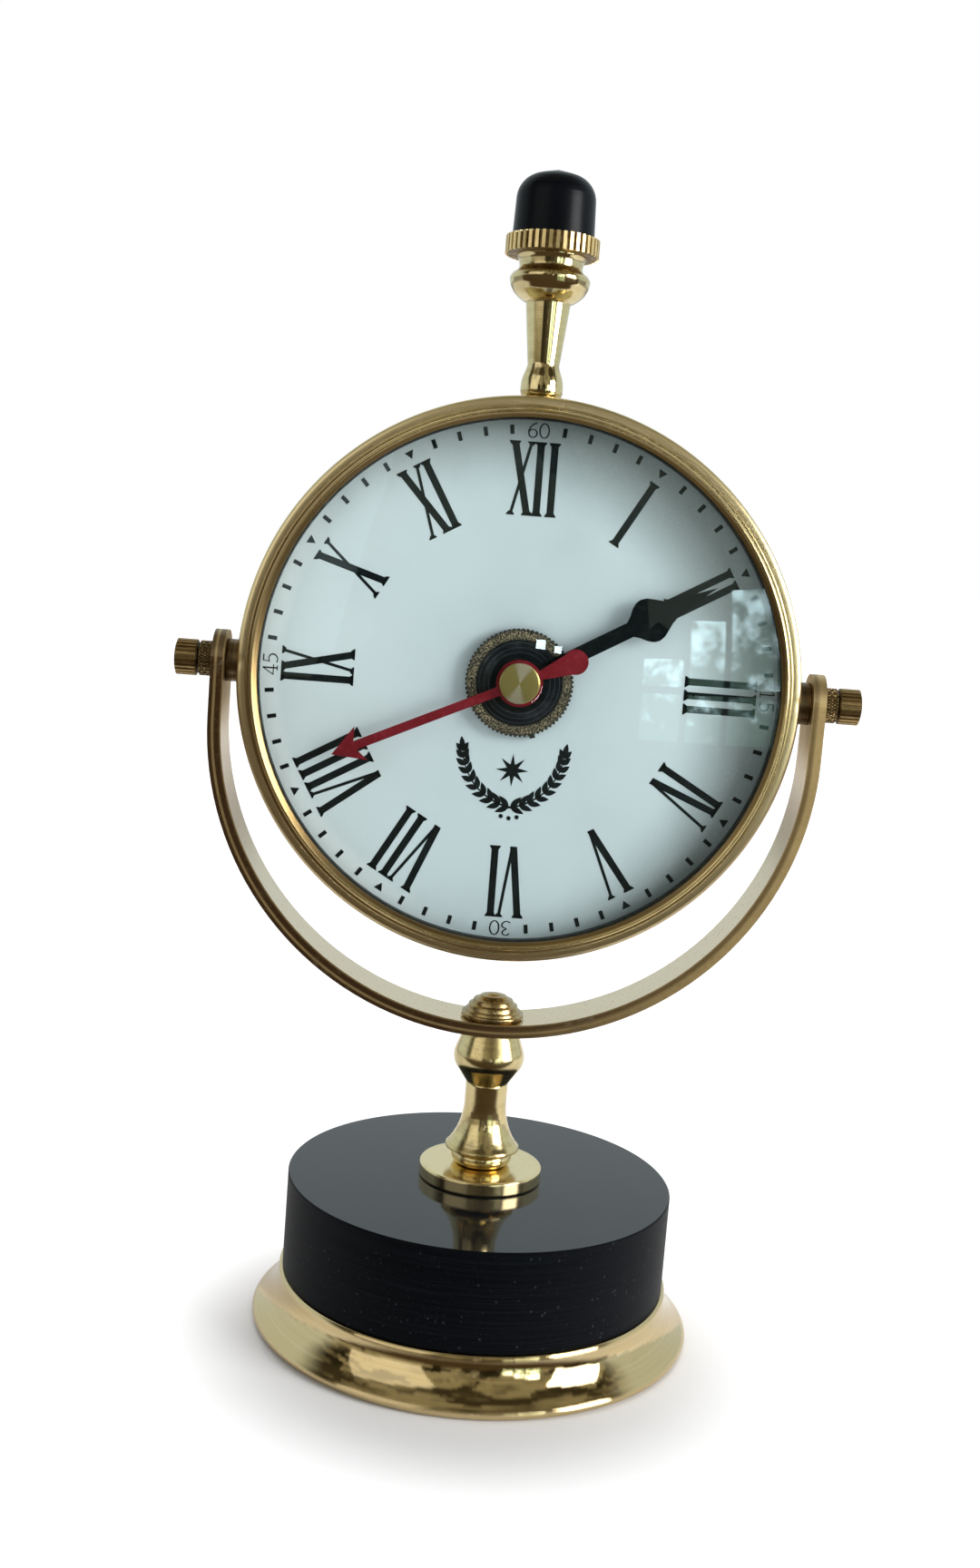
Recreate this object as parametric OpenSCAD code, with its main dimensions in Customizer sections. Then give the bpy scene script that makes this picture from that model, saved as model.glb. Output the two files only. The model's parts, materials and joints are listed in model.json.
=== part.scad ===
/* [Base] */
// How far the brass foot spreads past the wood disc
foot_spread = 5.4; // [4:0.1:9]
// Height of the brass foot, without the felt
foot_h = 9.45; // [8.5:0.05:12]
// Half the thickness of the rounded rim of the foot
foot_rim_r = 0.8; // [0.6:0.05:1.1]
// Height of the small lip under the rim
foot_lip_h = 0.5; // [0.3:0.05:0.7]
// Thickness of the web that the tie rod pulls on
foot_web = 2; // [1.5:0.1:2.6]
// Wall of the foot around the hollow under it
foot_wall = 8.8; // [7.8:0.1:20]
// Thickness of the felt pad
felt_t = 1.2; // [0.9:0.1:1.6]
// How far the felt stands below the foot
felt_proud = 0.5; // [0.3:0.05:0.7]
// How far the felt pad stays inside the foot
felt_edge = 3.3; // [2.8:0.1:6]
// Radius of the turned wood disc
wood_r = 37.4; // [34:0.1:38]
// Height of the wood disc
wood_h = 19.3; // [14:0.1:26]
// Bevel on the edges of the wood disc
wood_bevel = 0.25; // [0.1:0.05:0.6]

/* [Pillar] */
// Radius of the flange on the wood disc
flange_r = 11.95; // [10:0.05:14]
// Height of the flange
flange_h = 2.8; // [2.3:0.05:4.5]
// Radius of the neck ring above the flange
neck_r = 5.95; // [5:0.05:6.6]
// Height of the neck ring
neck_h = 3.3; // [2.5:0.05:4]
// Radius of the lip at the foot of the column
column_lip_r = 7.2; // [6.8:0.05:8]
// Thickness of that lip
column_lip_h = 0.45; // [0.3:0.05:0.7]
// Height of the flare of the column
flare_h = 9; // [7:0.1:11]
// Radius of the column at its top
column_r = 4.1; // [3.8:0.05:4.6]
// Height of the straight part of the column
column_h = 4.2; // [3:0.1:8]
// Widest radius of the vase collar
vase_r = 6.85; // [6.2:0.05:7.6]
// Radius of the vase collar at its top
vase_top_r = 5.2; // [4.8:0.05:5.6]
// Height of the undercut of the vase collar
vase_undercut_h = 3.3; // [2:0.1:3.8]
// Height of the round part of the vase collar
vase_h = 7.3; // [6.6:0.1:10]
// Radius of the tie rod
rod_r = 2.4; // [2:0.05:2.8]
// Thickness of the washer under the foot
washer_t = 1; // [0.8:0.1:1.2]
// Height of the hexagon nut under the foot
rod_nut_h = 3.2; // [2.8:0.1:3.6]
// Radius of the dome nut
dome_r = 5.95; // [5.2:0.05:6.4]
// Height of the flange of the dome nut
dome_flange_h = 1.1; // [0.9:0.05:1.4]
// Height of the dome above its flange
dome_h = 3.8; // [3.3:0.05:4.6]

/* [Yoke] */
// Gap between the band of the case and the arms of the yoke
arm_gap = 2.1; // [1.8:0.05:4]
// Thickness of the strap
strap_t = 2.5; // [2.2:0.05:2.7]
// Width of the strap
strap_w = 11.4; // [9.5:0.1:14]
// Straight rise of each arm from the curve to the pivot
arm_rise = 10.5; // [7:0.1:14]
// Depth of the flat spot under the strap, on the vase collar
strap_spot = 0.25; // [0.2:0.01:0.4]
// Radius of the shank of a thumb screw
shank_r = 1.9; // [1.6:0.05:2.2]
// Radius of a lock collar
lock_r = 3.3; // [3:0.05:3.8]
// Length of a lock collar
lock_len = 2.6; // [2:0.1:3.4]
// Gap between a lock collar and the head of its screw
lock_gap = 0.4; // [0.2:0.05:0.8]
// Radius of the head of a thumb screw
thumb_r = 3.4; // [3.1:0.05:4]
// Length of the head of a thumb screw
thumb_len = 4.2; // [3.5:0.1:6]
// Flutes round each knurled head
thumb_flutes = 24; // [16:2:30]
// Depth of the flutes
flute_d = 0.28; // [0.2:0.02:0.4]

/* [Case] */
// Lean of the clock face from upright, in degrees
rest_lean = 2.8; // [0:0.1:8]
// Radius of the glass that shows
glass_r = 48.5; // [46.5:0.1:48.8]
// Width of the bezel round the glass
bezel_w = 2.5; // [2.3:0.05:2.6]
// Height of the bezel in front of the case rim
bezel_h = 3.4; // [3.2:0.05:4]
// Overhang of the bezel past the case wall
bezel_overhang = 0.5; // [0.4:0.05:0.8]
// Width of the low step round the bezel
bezel_step_w = 0.9; // [0.7:0.05:1.1]
// Height of that step in front of the case rim
bezel_step_h = 0.9; // [0.6:0.05:1.2]
// Cover of the bezel lip over the glass
lip_w = 0.6; // [0.5:0.05:0.7]
// Thickness of the front rim of the case
rim_wall = 0.8; // [0.7:0.05:0.9]
// Width of the ledge that the dial rests on
ledge_w = 1.1; // [0.9:0.05:1.4]
// Thickness of the case wall
shell_wall = 1.2; // [1:0.05:1.4]
// Corner radius at the back of the case
shell_corner = 3; // [2:0.1:4.5]
// Space behind the movement, inside the case
back_space = 0.9; // [0.3:0.1:4]
// How far the back cover laps over the opening in the case
cover_lap = 5; // [4:0.1:7]
// Thickness of the back cover
cover_t = 1; // [0.8:0.1:1.4]
// How far the back cover stays inside the wall of the case
cover_step = 7.5; // [5.5:0.1:8]
// Thickness of the outer band
band_wall = 2.2; // [2:0.05:2.6]
// How far the outer band stays behind the front rim of the case
band_setback = 0.3; // [0.2:0.05:0.8]
// Depth of the outer band
band_depth = 11; // [9.8:0.1:12]
// Radius of the round on the edges of the band
band_round = 0.8; // [0.4:0.1:1]
// Radius of a pivot boss
boss_r = 4; // [3.6:0.05:4.4]
// Radius of the plug at the bottom
plug_r = 3.75; // [3:0.05:4.2]
// Radius of the boss under the finial
finial_boss_r = 2.8; // [2.5:0.05:3.2]

/* [Glass and dial] */
// Front face of the dial, ahead of the pivot
dial_face = 3.4; // [3.1:0.1:3.8]
// Thickness of the dial
dial_t = 0.8; // [0.5:0.1:1]
// Height of the spacer between dial and glass
spacer_h = 1.8; // [1.6:0.1:2.4]
// Width of that spacer
spacer_w = 0.65; // [0.6:0.05:1]
// Thickness of the glass
glass_t = 1.8; // [1.6:0.1:2]
// Rise of the domed glass
glass_rise = 6; // [5.8:0.1:8]
// Outer radius of the knurled dial nut
dial_nut_r = 10.1; // [9.8:0.05:11]
// Width of the rim of the dial nut
dial_nut_rim = 2.15; // [1.8:0.05:2.4]
// Thickness of the floor of the dial nut
dial_nut_floor = 0.9; // [0.7:0.05:1]
// Height of the rim of the dial nut above its floor
dial_nut_lip = 1; // [0.7:0.05:1.2]

/* [Hands] */
// Time shown, hours
show_hour = 8; // [0:1:11]
// Time shown, minutes
show_minute = 10; // [0:1:59]
// How far the minute hand stops short of the edge of the glass
minute_gap = 7.9; // [6.5:0.1:12]
// Width of the shaft of the minute hand
minute_w = 2.8; // [2:0.1:3.2]
// Widest part of the spade of the minute hand
spade_w = 8.4; // [6:0.1:10]
// Thickness of the minute hand
minute_t = 0.4; // [0.3:0.05:0.5]
// Thickness of the hub of the minute hand
minute_hub_t = 1; // [0.8:0.05:1.1]
// How far the hour hand stops short of the edge of the glass
hour_gap = 11.2; // [10.5:0.1:16]
// Width of the shaft of the hour hand
hour_w = 1.7; // [1.3:0.05:2.2]
// Length of the arrow head of the hour hand
arrow_len = 5.9; // [5:0.1:7]
// Width of the arrow head of the hour hand
arrow_w = 6.7; // [5:0.1:8]
// Distance of the counterweight from the centre
tail_len = 11.1; // [9:0.1:13]
// Radius of the counterweight
tail_r = 2.35; // [1.8:0.05:2.8]
// Thickness of the hour hand
hour_t = 0.4; // [0.3:0.05:0.5]
// Radius of the hub of the hour hand
hour_hub_r = 4.35; // [4:0.05:5]
// Radius of the brass cap on the centre
cap_r = 3.75; // [3.2:0.05:4]
// Height of the brass cap
cap_h = 1.2; // [0.9:0.05:1.5]

/* [Finial] */
// Radius of the foot of the finial
fin_foot_r = 3.95; // [3.6:0.05:4.2]
// Height of the foot of the finial
fin_foot_h = 2.6; // [2:0.1:3.4]
// Radius of the waist of the finial
fin_waist_r = 2.95; // [2.6:0.05:3.4]
// Height from the foot to the waist
fin_waist_h = 3; // [2.4:0.1:4]
// Radius where the stem meets the bowl
fin_stem_r = 4.15; // [3.7:0.05:4.8]
// Height of the tapered stem
fin_stem_h = 11.4; // [9:0.1:14]
// Widest radius of the bowl
fin_bowl_r = 7.45; // [6.6:0.05:8]
// Height of the bowl below its widest part
fin_bowl_h = 3.9; // [3.2:0.1:4.6]
// Radius of the neck above the bowl
fin_neck_r = 5.85; // [5.4:0.05:6.3]
// Height of the neck and the shoulder of the bowl
fin_neck_h = 4.5; // [3.8:0.1:5.4]
// Radius of the knurled ferrule
ferrule_r = 8.7; // [8:0.05:9.4]
// Height of the ferrule
ferrule_h = 3.2; // [2.6:0.1:4]
// Slots round the ferrule
ferrule_slots = 42; // [30:2:48]
// Radius of the black knob at its base
knob_r = 7.6; // [7:0.05:7.9]
// Narrowing of the knob towards its top
knob_draft = 0.25; // [0:0.05:0.4]
// Height of the black knob
knob_h = 12.5; // [9:0.1:14]
// Rise of the crown of the knob above its rounded edge
knob_crown = 1; // [0.6:0.1:1.4]
// Radius of the rounded edge of the knob
knob_round = 4.6; // [3:0.1:5.5]

/* [Movement] */
// Room for a contact at each end of the battery
battery_room = 2.2; // [1.8:0.05:3]
// Wall of the movement housing
house_wall = 1.2; // [1:0.05:1.3]
// Thickness of the rubber washer behind the dial
rubber_t = 0.6; // [0.4:0.05:0.7]
// Radius of the threaded centre bush
bush_r = 4; // [3.6:0.05:4.4]
// Radius of the minute pipe
pipe_r = 2.25; // [2.15:0.01:2.3]
// Radius of the hour arbor
arbor_r = 1.5; // [1.3:0.05:1.6]
// Distance between the centre and each arbor next to it
arbor_dist = 10.08; // [9.8:0.02:10.6]
// Distance between the third arbor and the seconds arbor
seconds_dist = 6.8; // [6.4:0.1:7.2]
// Thickness of each wheel
wheel_t = 0.8; // [0.6:0.05:0.9]
// Step from one level of wheels to the next
level_step = 1.8; // [1.5:0.05:1.9]
// Radius of a thin arbor
thin_arbor_r = 0.5; // [0.4:0.02:0.55]
// Radius of the battery
battery_r = 7.1; // [6.6:0.05:7.4]
// Length of the battery
battery_len = 49.2; // [44:0.1:50.4]
// Radius of the setting knob
set_knob_r = 5; // [4:0.1:6]
// Height of the setting knob
set_knob_h = 4.6; // [3.8:0.1:6]

/* [Hidden] */

// Smoothness of round pieces and steps along a drawn arc
smooth = 96;
arc_steps = 8;
// Overrun of every cut
over = 1;
// Clearances: running fits, pieces slipped together, faces that only come near
run_gap = 0.05;
fit_gap = 0.1;
near_gap = 0.15;
// Colours
brass = [0.80, 0.62, 0.30];
aged = [0.45, 0.33, 0.17];
black = [0.05, 0.05, 0.07];
pale = [0.84, 0.89, 0.90];
red = [0.60, 0.08, 0.10];
steel = [0.65, 0.66, 0.68];
glass = [0.80, 0.90, 0.90, 0.35];
grey = [0.35, 0.36, 0.38];
copper = [0.72, 0.40, 0.22];
green = [0.10, 0.35, 0.20];

// Case radii
bezel_r = glass_r + bezel_w;
bead_w = bezel_w - bezel_step_w;
shell_r = bezel_r - bezel_overhang;
rim_in_r = shell_r - rim_wall;
ledge_in_r = rim_in_r - ledge_w;
shell_in_r = shell_r - shell_wall;
crystal_r = glass_r + lip_w;
skirt_in_r = crystal_r + run_gap;
skirt_out_r = rim_in_r - fit_gap;
dial_r = rim_in_r - fit_gap;
band_in_r = shell_r + fit_gap;
band_r = band_in_r + band_wall;
cover_r = shell_r - cover_step;
back_open_r = cover_r - cover_lap;
yoke_r = band_r + arm_gap + strap_t;
minute_len = glass_r - minute_gap;
hour_len = glass_r - hour_gap;
tail_side_share = 0.93;
tail_rise_share = 0.1;

// Radii of the foot and its pad
foot_r = wood_r + foot_spread;
foot_hollow_r = foot_r - foot_wall;
felt_r = foot_r - felt_edge;

// Heights of the base and the pillar
foot_z = felt_proud;
wood_z = foot_z + foot_h;
flange_z = wood_z + wood_h;
neck_z = flange_z + flange_h;
column_z = neck_z + neck_h;
vase_z = column_z + flare_h + column_h;
flare_turn = 45;
flare_step = 0.1;
flare_rx = (column_lip_r - flare_step - column_r) / (1 - cos(flare_turn));
flare_rz = (flare_h - column_lip_h) / sin(flare_turn);
strap_seat_z = vase_z + vase_undercut_h + vase_h;
yoke_z = strap_seat_z - strap_spot;
dome_z = yoke_z + strap_t;
arc_z = yoke_z + yoke_r;
pivot_z = arc_z + arm_rise;
arm_x = yoke_r - strap_t;
// Vase collar: a round knuckle with a cone above it that ends under the strap
knuckle_share = 0.55;
knuckle_r = vase_h * knuckle_share;
knuckle_low_turn = 28;
knuckle_top_turn = 18;
knuckle_x = vase_r - knuckle_r;
knuckle_z = vase_z + vase_undercut_h + knuckle_r * sin(knuckle_low_turn);
cone_low_r = knuckle_x + knuckle_r * cos(knuckle_top_turn);
cone_low_z = knuckle_z + knuckle_r * sin(knuckle_top_turn);
vase_seat_r = vase_top_r + (cone_low_r - vase_top_r) * strap_spot / (strap_seat_z - cone_low_z);

// Foot: the cove falls from the wood with a small step and runs out on a thin rim
foot_top_step = 0.6;
rim_low_turn = 20;
foot_top_r = wood_r + foot_top_step;
foot_rim_x = foot_r - foot_rim_r;
foot_rim_z = foot_z + foot_lip_h + foot_rim_r * sin(rim_low_turn);
cove_turn = 50;
rim_top_turn = 54;
cove_w = foot_rim_x + foot_rim_r * cos(rim_top_turn) - foot_top_r;
cove_h = wood_z - foot_rim_z - foot_rim_r * sin(rim_top_turn);
cove_rx = cove_w / (1 - cos(cove_turn));
cove_rz = cove_h / sin(cove_turn);
foot_lip_w = 0.35;
foot_edge_r = foot_r - foot_lip_w;
web_z = wood_z - foot_web;
rod_low_z = web_z - washer_t - rod_nut_h - fit_gap;
nut_wall_share = 0.9;
rod_nut_r = rod_r + rod_r * nut_wall_share;
washer_share = 1.6;
washer_r = rod_r + rod_r * washer_share;
rod_reach_share = 0.45;
rod_top_z = dome_z + dome_flange_h + dome_h * rod_reach_share;
dome_step_shares = [[1, 0], [0.97, 0.16], [0.90, 0.18], [0.86, 0.42], [0.77, 0.44], [0.69, 0.68],
                    [0.58, 0.70], [0.45, 0.88], [0.33, 0.90], [0.16, 0.98], [0, 1]];
dome_brim_share = 0.92;

// Case depths, ahead of the pivot
ledge_front = dial_face - dial_t;
glass_back = dial_face + spacer_h;
glass_front = glass_back + glass_t;
rim_rise = 1.5;
rim_front = dial_face + rim_rise;
bezel_front = rim_front + bezel_h;
bezel_crest_share = 0.6;
bezel_edge_share = 0.75;
bezel_step_round = 0.3;
ledge_t = 0.8;
band_front = rim_front - band_setback;
band_back = band_front - band_depth;
// Glass dome as a slice of a ball
dome_in_r = (crystal_r * crystal_r + glass_rise * glass_rise) / (glass_rise + glass_rise);
lip_rise = sqrt(dome_in_r * dome_in_r - glass_r * glass_r) + glass_rise - dome_in_r;
// Dial nut and hand stack, ahead of the pivot
nut_floor = dial_face + dial_nut_floor;
nut_front = nut_floor + dial_nut_lip;
nut_bore_r = bush_r + run_gap;
nut_tab_w = 1;
nut_tab_out = 0.5;
nut_tab_turn = 18;
hub_back = nut_floor + fit_gap;
hub_r = dial_nut_r - dial_nut_rim - near_gap;
hub_step_share = 0.87;
hub_step_r = hub_r * hub_step_share;
hub_front = hub_back + minute_hub_t;
hub_step_front = hub_front + minute_t;
minute_hand_front = hub_step_front + minute_t;
hand_space = 0.8;
hour_hand_back = minute_hand_front + hand_space;
hour_hand_front = hour_hand_back + hour_t;
cap_front = hour_hand_front + cap_h;
pipe_front = minute_hand_front + near_gap;
cap_bore_share = 0.5;
arbor_front = hour_hand_front + cap_h * cap_bore_share;
arbor_tail_share = 0.6;
arbor_tail_r = arbor_r * arbor_tail_share;
// Turn of each hand from twelve, clockwise
minute_turn = show_minute * 6;
hour_hand_turn = show_hour * 30 + show_minute / 2;
// Outlines of the hands, in shares of their length and half width
spade_shares = [[0.56, 0.34], [0.585, 0.52], [0.61, 0.78], [0.635, 0.95], [0.66, 1], [0.69, 0.93],
                [0.72, 0.74], [0.76, 0.47], [0.82, 0.30], [0.90, 0.18]];
arrow_back_share = 0.8;
eye_share = 0.8;
minute_eye_r = hub_step_r * eye_share;

// Finial heights, above the pivot
boss_rise = 0.4;
fin_z = band_r + boss_rise;
fin_lip_share = 0.94;
fin_waist_z = fin_z + fin_foot_h + fin_waist_h;
fin_bowl_z = fin_waist_z + fin_stem_h;
fin_wide_z = fin_bowl_z + fin_bowl_h;
ferrule_z = fin_wide_z + fin_neck_h;
knob_z = ferrule_z + ferrule_h;
fin_foot_shares = [[1, 0.12], [1, 0.30], [0.93, 0.45], [0.74, 0.60], [0.44, 0.74], [0.16, 0.88], [0, 1]];
bowl_shares = [[0, 0], [0.2, 0.05], [0.48, 0.22], [0.74, 0.43], [0.93, 0.71], [1, 1]];
shoulder_shares = [[1, 0.08], [0.72, 0.24], [0.20, 0.36], [0, 0.52], [0.1, 0.8], [0.45, 1]];
fin_screw_r = 1.2;
fin_screw_head_r = 1.65;
fin_screw_head_h = 1.2;
fin_bore_h = 9;
knob_spigot_r = 3;
knob_spigot_h = 2.2;
slot_d = 0.55;
slot_share = 0.7;

// Bosses and thumb screws, along the pivot axis
plug_spigot_r = 1.5;
spigot_in = 0.3;
boss_in_r = shell_r + near_gap;
boss_out_x = arm_x - fit_gap;
shank_in_x = boss_in_r + near_gap;
thumb_x = yoke_r + run_gap + lock_len + lock_gap;
thumb_chamfer = 0.45;
flute_share = 0.6;
flute_top_share = 0.7;
nut_flutes = 72;

// Movement depths, ahead of the pivot
house_front = ledge_front - rubber_t;
chamber_front = house_front - house_wall;
bay_slack = 0.1;
house_back = chamber_front - battery_r - battery_r - bay_slack - bay_slack;
lid_t = 1.2;
lid_head_h = 0.7;
cover_front = house_back - lid_head_h - back_space - shell_wall;
lid_front = house_back + lid_t;
inner_half = battery_len / 2 + battery_room;
half_w = inner_half + house_wall;
bay_gap = 0.3;
battery_y = battery_r + bay_gap - inner_half;
bay_top = battery_y + battery_r + bay_gap;
chamber_low = bay_top + house_wall;
battery_d = (chamber_front + house_back) / 2;
house_corner = 3;
pocket_corner = house_corner - house_wall * (2 - sqrt(2));
// Centre bush
bush_bore_r = pipe_r + run_gap;
bush_flange_t = 0.6;
bush_flange_r = bush_r + house_wall;
bush_back = chamber_front - bush_flange_t;
// Levels of the wheels, counted from the front
bush_front_gap = 0.4;
level_front = bush_back - bush_front_gap;
function level(i) = level_front - i * level_step;
// Counts of teeth
centre_teeth = 64;
third_leaves = 8;
third_teeth = 60;
seconds_leaves = 8;
seconds_teeth = 40;
minute_leaves = 24;
motion_teeth = 72;
motion_leaves = 12;
hour_teeth = 48;
setting_leaves = 24;
// Tooth sizes follow the arbor distances
centre_mod = 2 * arbor_dist / (centre_teeth + third_leaves);
motion_mod = 2 * arbor_dist / (minute_leaves + motion_teeth);
hour_mod = 2 * arbor_dist / (motion_leaves + hour_teeth);
third_mod = 2 * seconds_dist / (third_teeth + seconds_leaves);
seconds_mod = 0.2;
tip_share = 0.75;
root_share = 1.0;
tooth_root_share = 0.27;
tooth_tip_share = 0.10;
// Directions of the arbors from their neighbours, in degrees
third_dir = 60;
motion_dir = 150;
setting_dir = 90;
seconds_dir = 60;
third_at = arbor_dist * [cos(third_dir), sin(third_dir)];
motion_at = arbor_dist * [cos(motion_dir), sin(motion_dir)];
setting_at = motion_at + arbor_dist * [cos(setting_dir), sin(setting_dir)];
seconds_at = third_at + seconds_dist * [cos(seconds_dir), sin(seconds_dir)];
// Turn of a wheel that meshes with a neighbour, from the direction between them
function mesh_turn(dir, turn_a, n_a, n_b) =
    dir + 180 - (0.5 - (dir - turn_a) * n_a / 360) * 360 / n_b;
motion_turn = mesh_turn(motion_dir, motion_dir, minute_leaves, motion_teeth);
hour_turn = mesh_turn(motion_dir + 180, motion_dir + 180, motion_leaves, hour_teeth);
third_turn = mesh_turn(third_dir, third_dir, centre_teeth, third_leaves);
seconds_turn = mesh_turn(seconds_dir, seconds_dir, third_teeth, seconds_leaves);
setting_turn = mesh_turn(setting_dir, motion_turn, motion_teeth, setting_leaves);
// Stepper motor, board and contacts
rotor_r = 2;
rotor_pin_r = 0.9;
rotor_t = 1.6;
seconds_r = seconds_teeth * seconds_mod / 2;
rotor_at = seconds_at + [seconds_r + seconds_mod + rotor_pin_r + near_gap, 0];
rotor_hole_r = rotor_r + near_gap + near_gap;
coil_r = 3.2;
coil_at_x = inner_half - coil_r - near_gap;
coil_len = 13;
coil_core_r = 1.2;
coil_d = level(2) - wheel_t;
stator_t = 1;
stator_w = 5.6;
stator_d = coil_d - coil_core_r - fit_gap;
coil_mid_y = rotor_at[1] - stator_w / 2 - near_gap - coil_len / 2;
board_w = 8;
board_len = 14;
board_t = 0.8;
contact_t = 0.4;
contact_w = 8;
// Screws
cover_screw_count = 4;
cover_screw_r = 0.95;
cover_head_r = 1.9;
cover_head_h = 1.1;
cover_screw_ring = (back_open_r + cover_r) / 2;
cover_screw_in = 1.6;
set_hole_gap = 1.4;
cover_hole_r = set_knob_r + set_hole_gap;
set_knob_front = house_back - bay_gap;
set_knob_depth = 0.4;
set_stem_r = 1.2;
lid_screw_r = 0.8;
lid_head_r = 1.5;
lid_screw_len = 6;
lid_post_r = 2;
lid_screw_in = 3;

// Points along an arc of an ellipse
function arc(at, rx, ry, from, to, n = arc_steps) =
    [for (i = [0:n]) let (a = from + (to - from) * i / n) at + [rx * cos(a), ry * sin(a)]];
// Points of an outline given in shares between two radii and two heights
function spread(shares, r0, r1, z0, z1) =
    [for (s = shares) [r0 + (r1 - r0) * s[0], z0 + (z1 - z0) * s[1]]];

// A turned piece on the Z axis
module turned(points) rotate_extrude($fn = smooth) polygon(points);

// A straight rod with a bore
module tube(r, bore, low, high) {
    difference() {
        translate([0, 0, low]) cylinder(r = r, h = high - low, $fn = smooth);
        translate([0, 0, low - over]) cylinder(r = bore, h = high - low + over + over, $fn = smooth);
    }
}

// A plain rod between two heights
module rod(r, low, high) translate([0, 0, low]) cylinder(r = r, h = high - low, $fn = smooth);

// A rod with straight flutes
module fluted(r, h, count, depth, share) {
    linear_extrude(h)
        polygon([for (i = [0:count - 1]) for (k = [0:3])
            let (step = 360 / count, half = step * share / 2, rise = half * flute_top_share)
            let (a = i * step + [-half, -rise, rise, half][k])
            let (q = (k == 0 || k == 3) ? r - depth : r)
            [q * cos(a), q * sin(a)]]);
}

// Into the frame of the dial: x right, y up, z towards the viewer, at the pivot
module in_case() translate([0, 0, pivot_z]) rotate([90 - rest_lean, 0, 0]) children();

// Along the case's upward axis
module upward() rotate([-90, 0, 0]) children();

// Toothed wheel
module toothed(n, mod, thick, turn) {
    pitch = 360 / n;
    tip = n * mod / 2 + tip_share * mod;
    root = n * mod / 2 - root_share * mod;
    rotate([0, 0, turn]) linear_extrude(thick)
        polygon([for (i = [0:n - 1]) for (k = [0:3])
            let (a = (i + [-tooth_root_share, -tooth_tip_share, tooth_tip_share, tooth_root_share][k]) * pitch)
            let (q = (k == 0 || k == 3) ? root : tip)
            [q * cos(a), q * sin(a)]]);
}

module felt_pad() color(black) rod(felt_r, 0, felt_t);

module brass_foot() color(brass) difference() {
    turned(concat(
        [[0, foot_z], [foot_edge_r, foot_z], [foot_edge_r, foot_z + foot_lip_h]],
        arc([foot_rim_x, foot_rim_z], foot_rim_r, foot_rim_r, -rim_low_turn, rim_top_turn),
        arc([foot_top_r + cove_rx, wood_z], cove_rx, cove_rz, 180 + cove_turn, 180),
        [[0, wood_z]]));
    translate([0, 0, foot_z - over]) cylinder(r = felt_r + fit_gap, h = felt_t - foot_z + over, $fn = smooth);
    translate([0, 0, foot_z]) cylinder(r = foot_hollow_r, h = web_z - foot_z, $fn = smooth);
    translate([0, 0, web_z - over]) cylinder(r = rod_r + fit_gap, h = foot_web + over + over, $fn = smooth);
}

module wood_disc() color(black) difference() {
    turned([[0, wood_z], [wood_r - wood_bevel, wood_z], [wood_r, wood_z + wood_bevel],
            [wood_r, flange_z - wood_bevel], [wood_r - wood_bevel, flange_z], [0, flange_z]]);
    translate([0, 0, wood_z - over]) cylinder(r = rod_r + fit_gap, h = wood_h + over + over, $fn = smooth);
}

module pillar_flange() color(brass) difference() {
    turned([[0, flange_z], [flange_r - wood_bevel, flange_z], [flange_r, flange_z + wood_bevel],
            [flange_r, neck_z - wood_bevel], [flange_r - wood_bevel, neck_z], [0, neck_z]]);
    translate([0, 0, flange_z - over]) cylinder(r = rod_r + fit_gap, h = flange_h + over + over, $fn = smooth);
}

module neck_ring() color(brass) difference() {
    turned(concat(
        [[0, neck_z]],
        arc([neck_r - neck_h / 2, neck_z + neck_h / 2], neck_h / 2, neck_h / 2, -90, 90),
                  [[0, column_z]]));
    translate([0, 0, neck_z - over]) cylinder(r = rod_r + fit_gap, h = neck_h + over + over, $fn = smooth);
}

module pillar_column() color(brass) difference() {
    turned(concat(
        [[0, column_z], [column_lip_r, column_z], [column_lip_r, column_z + column_lip_h]],
        arc([column_r + flare_rx, column_z + flare_h], flare_rx, flare_rz, 180 + flare_turn, 180),
        [[column_r, vase_z], [0, vase_z]]));
    translate([0, 0, column_z - over])
        cylinder(r = rod_r + fit_gap, h = vase_z - column_z + over + over, $fn = smooth);
}

module vase_collar() color(brass) difference() {
    turned(concat(
        [[0, vase_z], [column_r, vase_z]],
        arc([knuckle_x, knuckle_z], knuckle_r, knuckle_r, -knuckle_low_turn, knuckle_top_turn),
        [[vase_top_r, strap_seat_z], [0, strap_seat_z]]));
    translate([0, 0, vase_z - over])
        cylinder(r = rod_r + fit_gap, h = strap_seat_z - vase_z + over + over, $fn = smooth);
}

module tie_rod() color(steel) rod(rod_r, rod_low_z, rod_top_z);

module rod_washer() color(steel) tube(washer_r, rod_r + fit_gap, web_z - washer_t, web_z);

module rod_nut() color(steel) difference() {
    translate([0, 0, web_z - washer_t - rod_nut_h]) cylinder(r = rod_nut_r, h = rod_nut_h, $fn = 6);
    translate([0, 0, rod_low_z - over])
        cylinder(r = rod_r + run_gap, h = rod_nut_h + over + over, $fn = smooth);
}

module dome_nut() color(brass) difference() {
    turned(concat(
        [[0, dome_z], [dome_r * dome_brim_share, dome_z], [dome_r, dome_z + dome_flange_h / 2],
         [dome_r, dome_z + dome_flange_h]],
        spread(dome_step_shares, 0, dome_r * dome_brim_share, dome_z + dome_flange_h,
               dome_z + dome_flange_h + dome_h)));
    translate([0, 0, dome_z - over])
        cylinder(r = rod_r + run_gap, h = rod_top_z - dome_z + over + run_gap, $fn = smooth);
}

// U strap, seen from the front
module yoke_outline() {
    difference() {
        union() {
            translate([0, arc_z]) circle(r = yoke_r, $fn = smooth);
            translate([-yoke_r, arc_z]) square([yoke_r + yoke_r, arm_rise + strap_w]);
        }
        translate([0, arc_z]) circle(r = arm_x, $fn = smooth);
        translate([-arm_x, arc_z]) square([arm_x + arm_x, arm_rise + strap_w + over]);
    }
}

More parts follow.
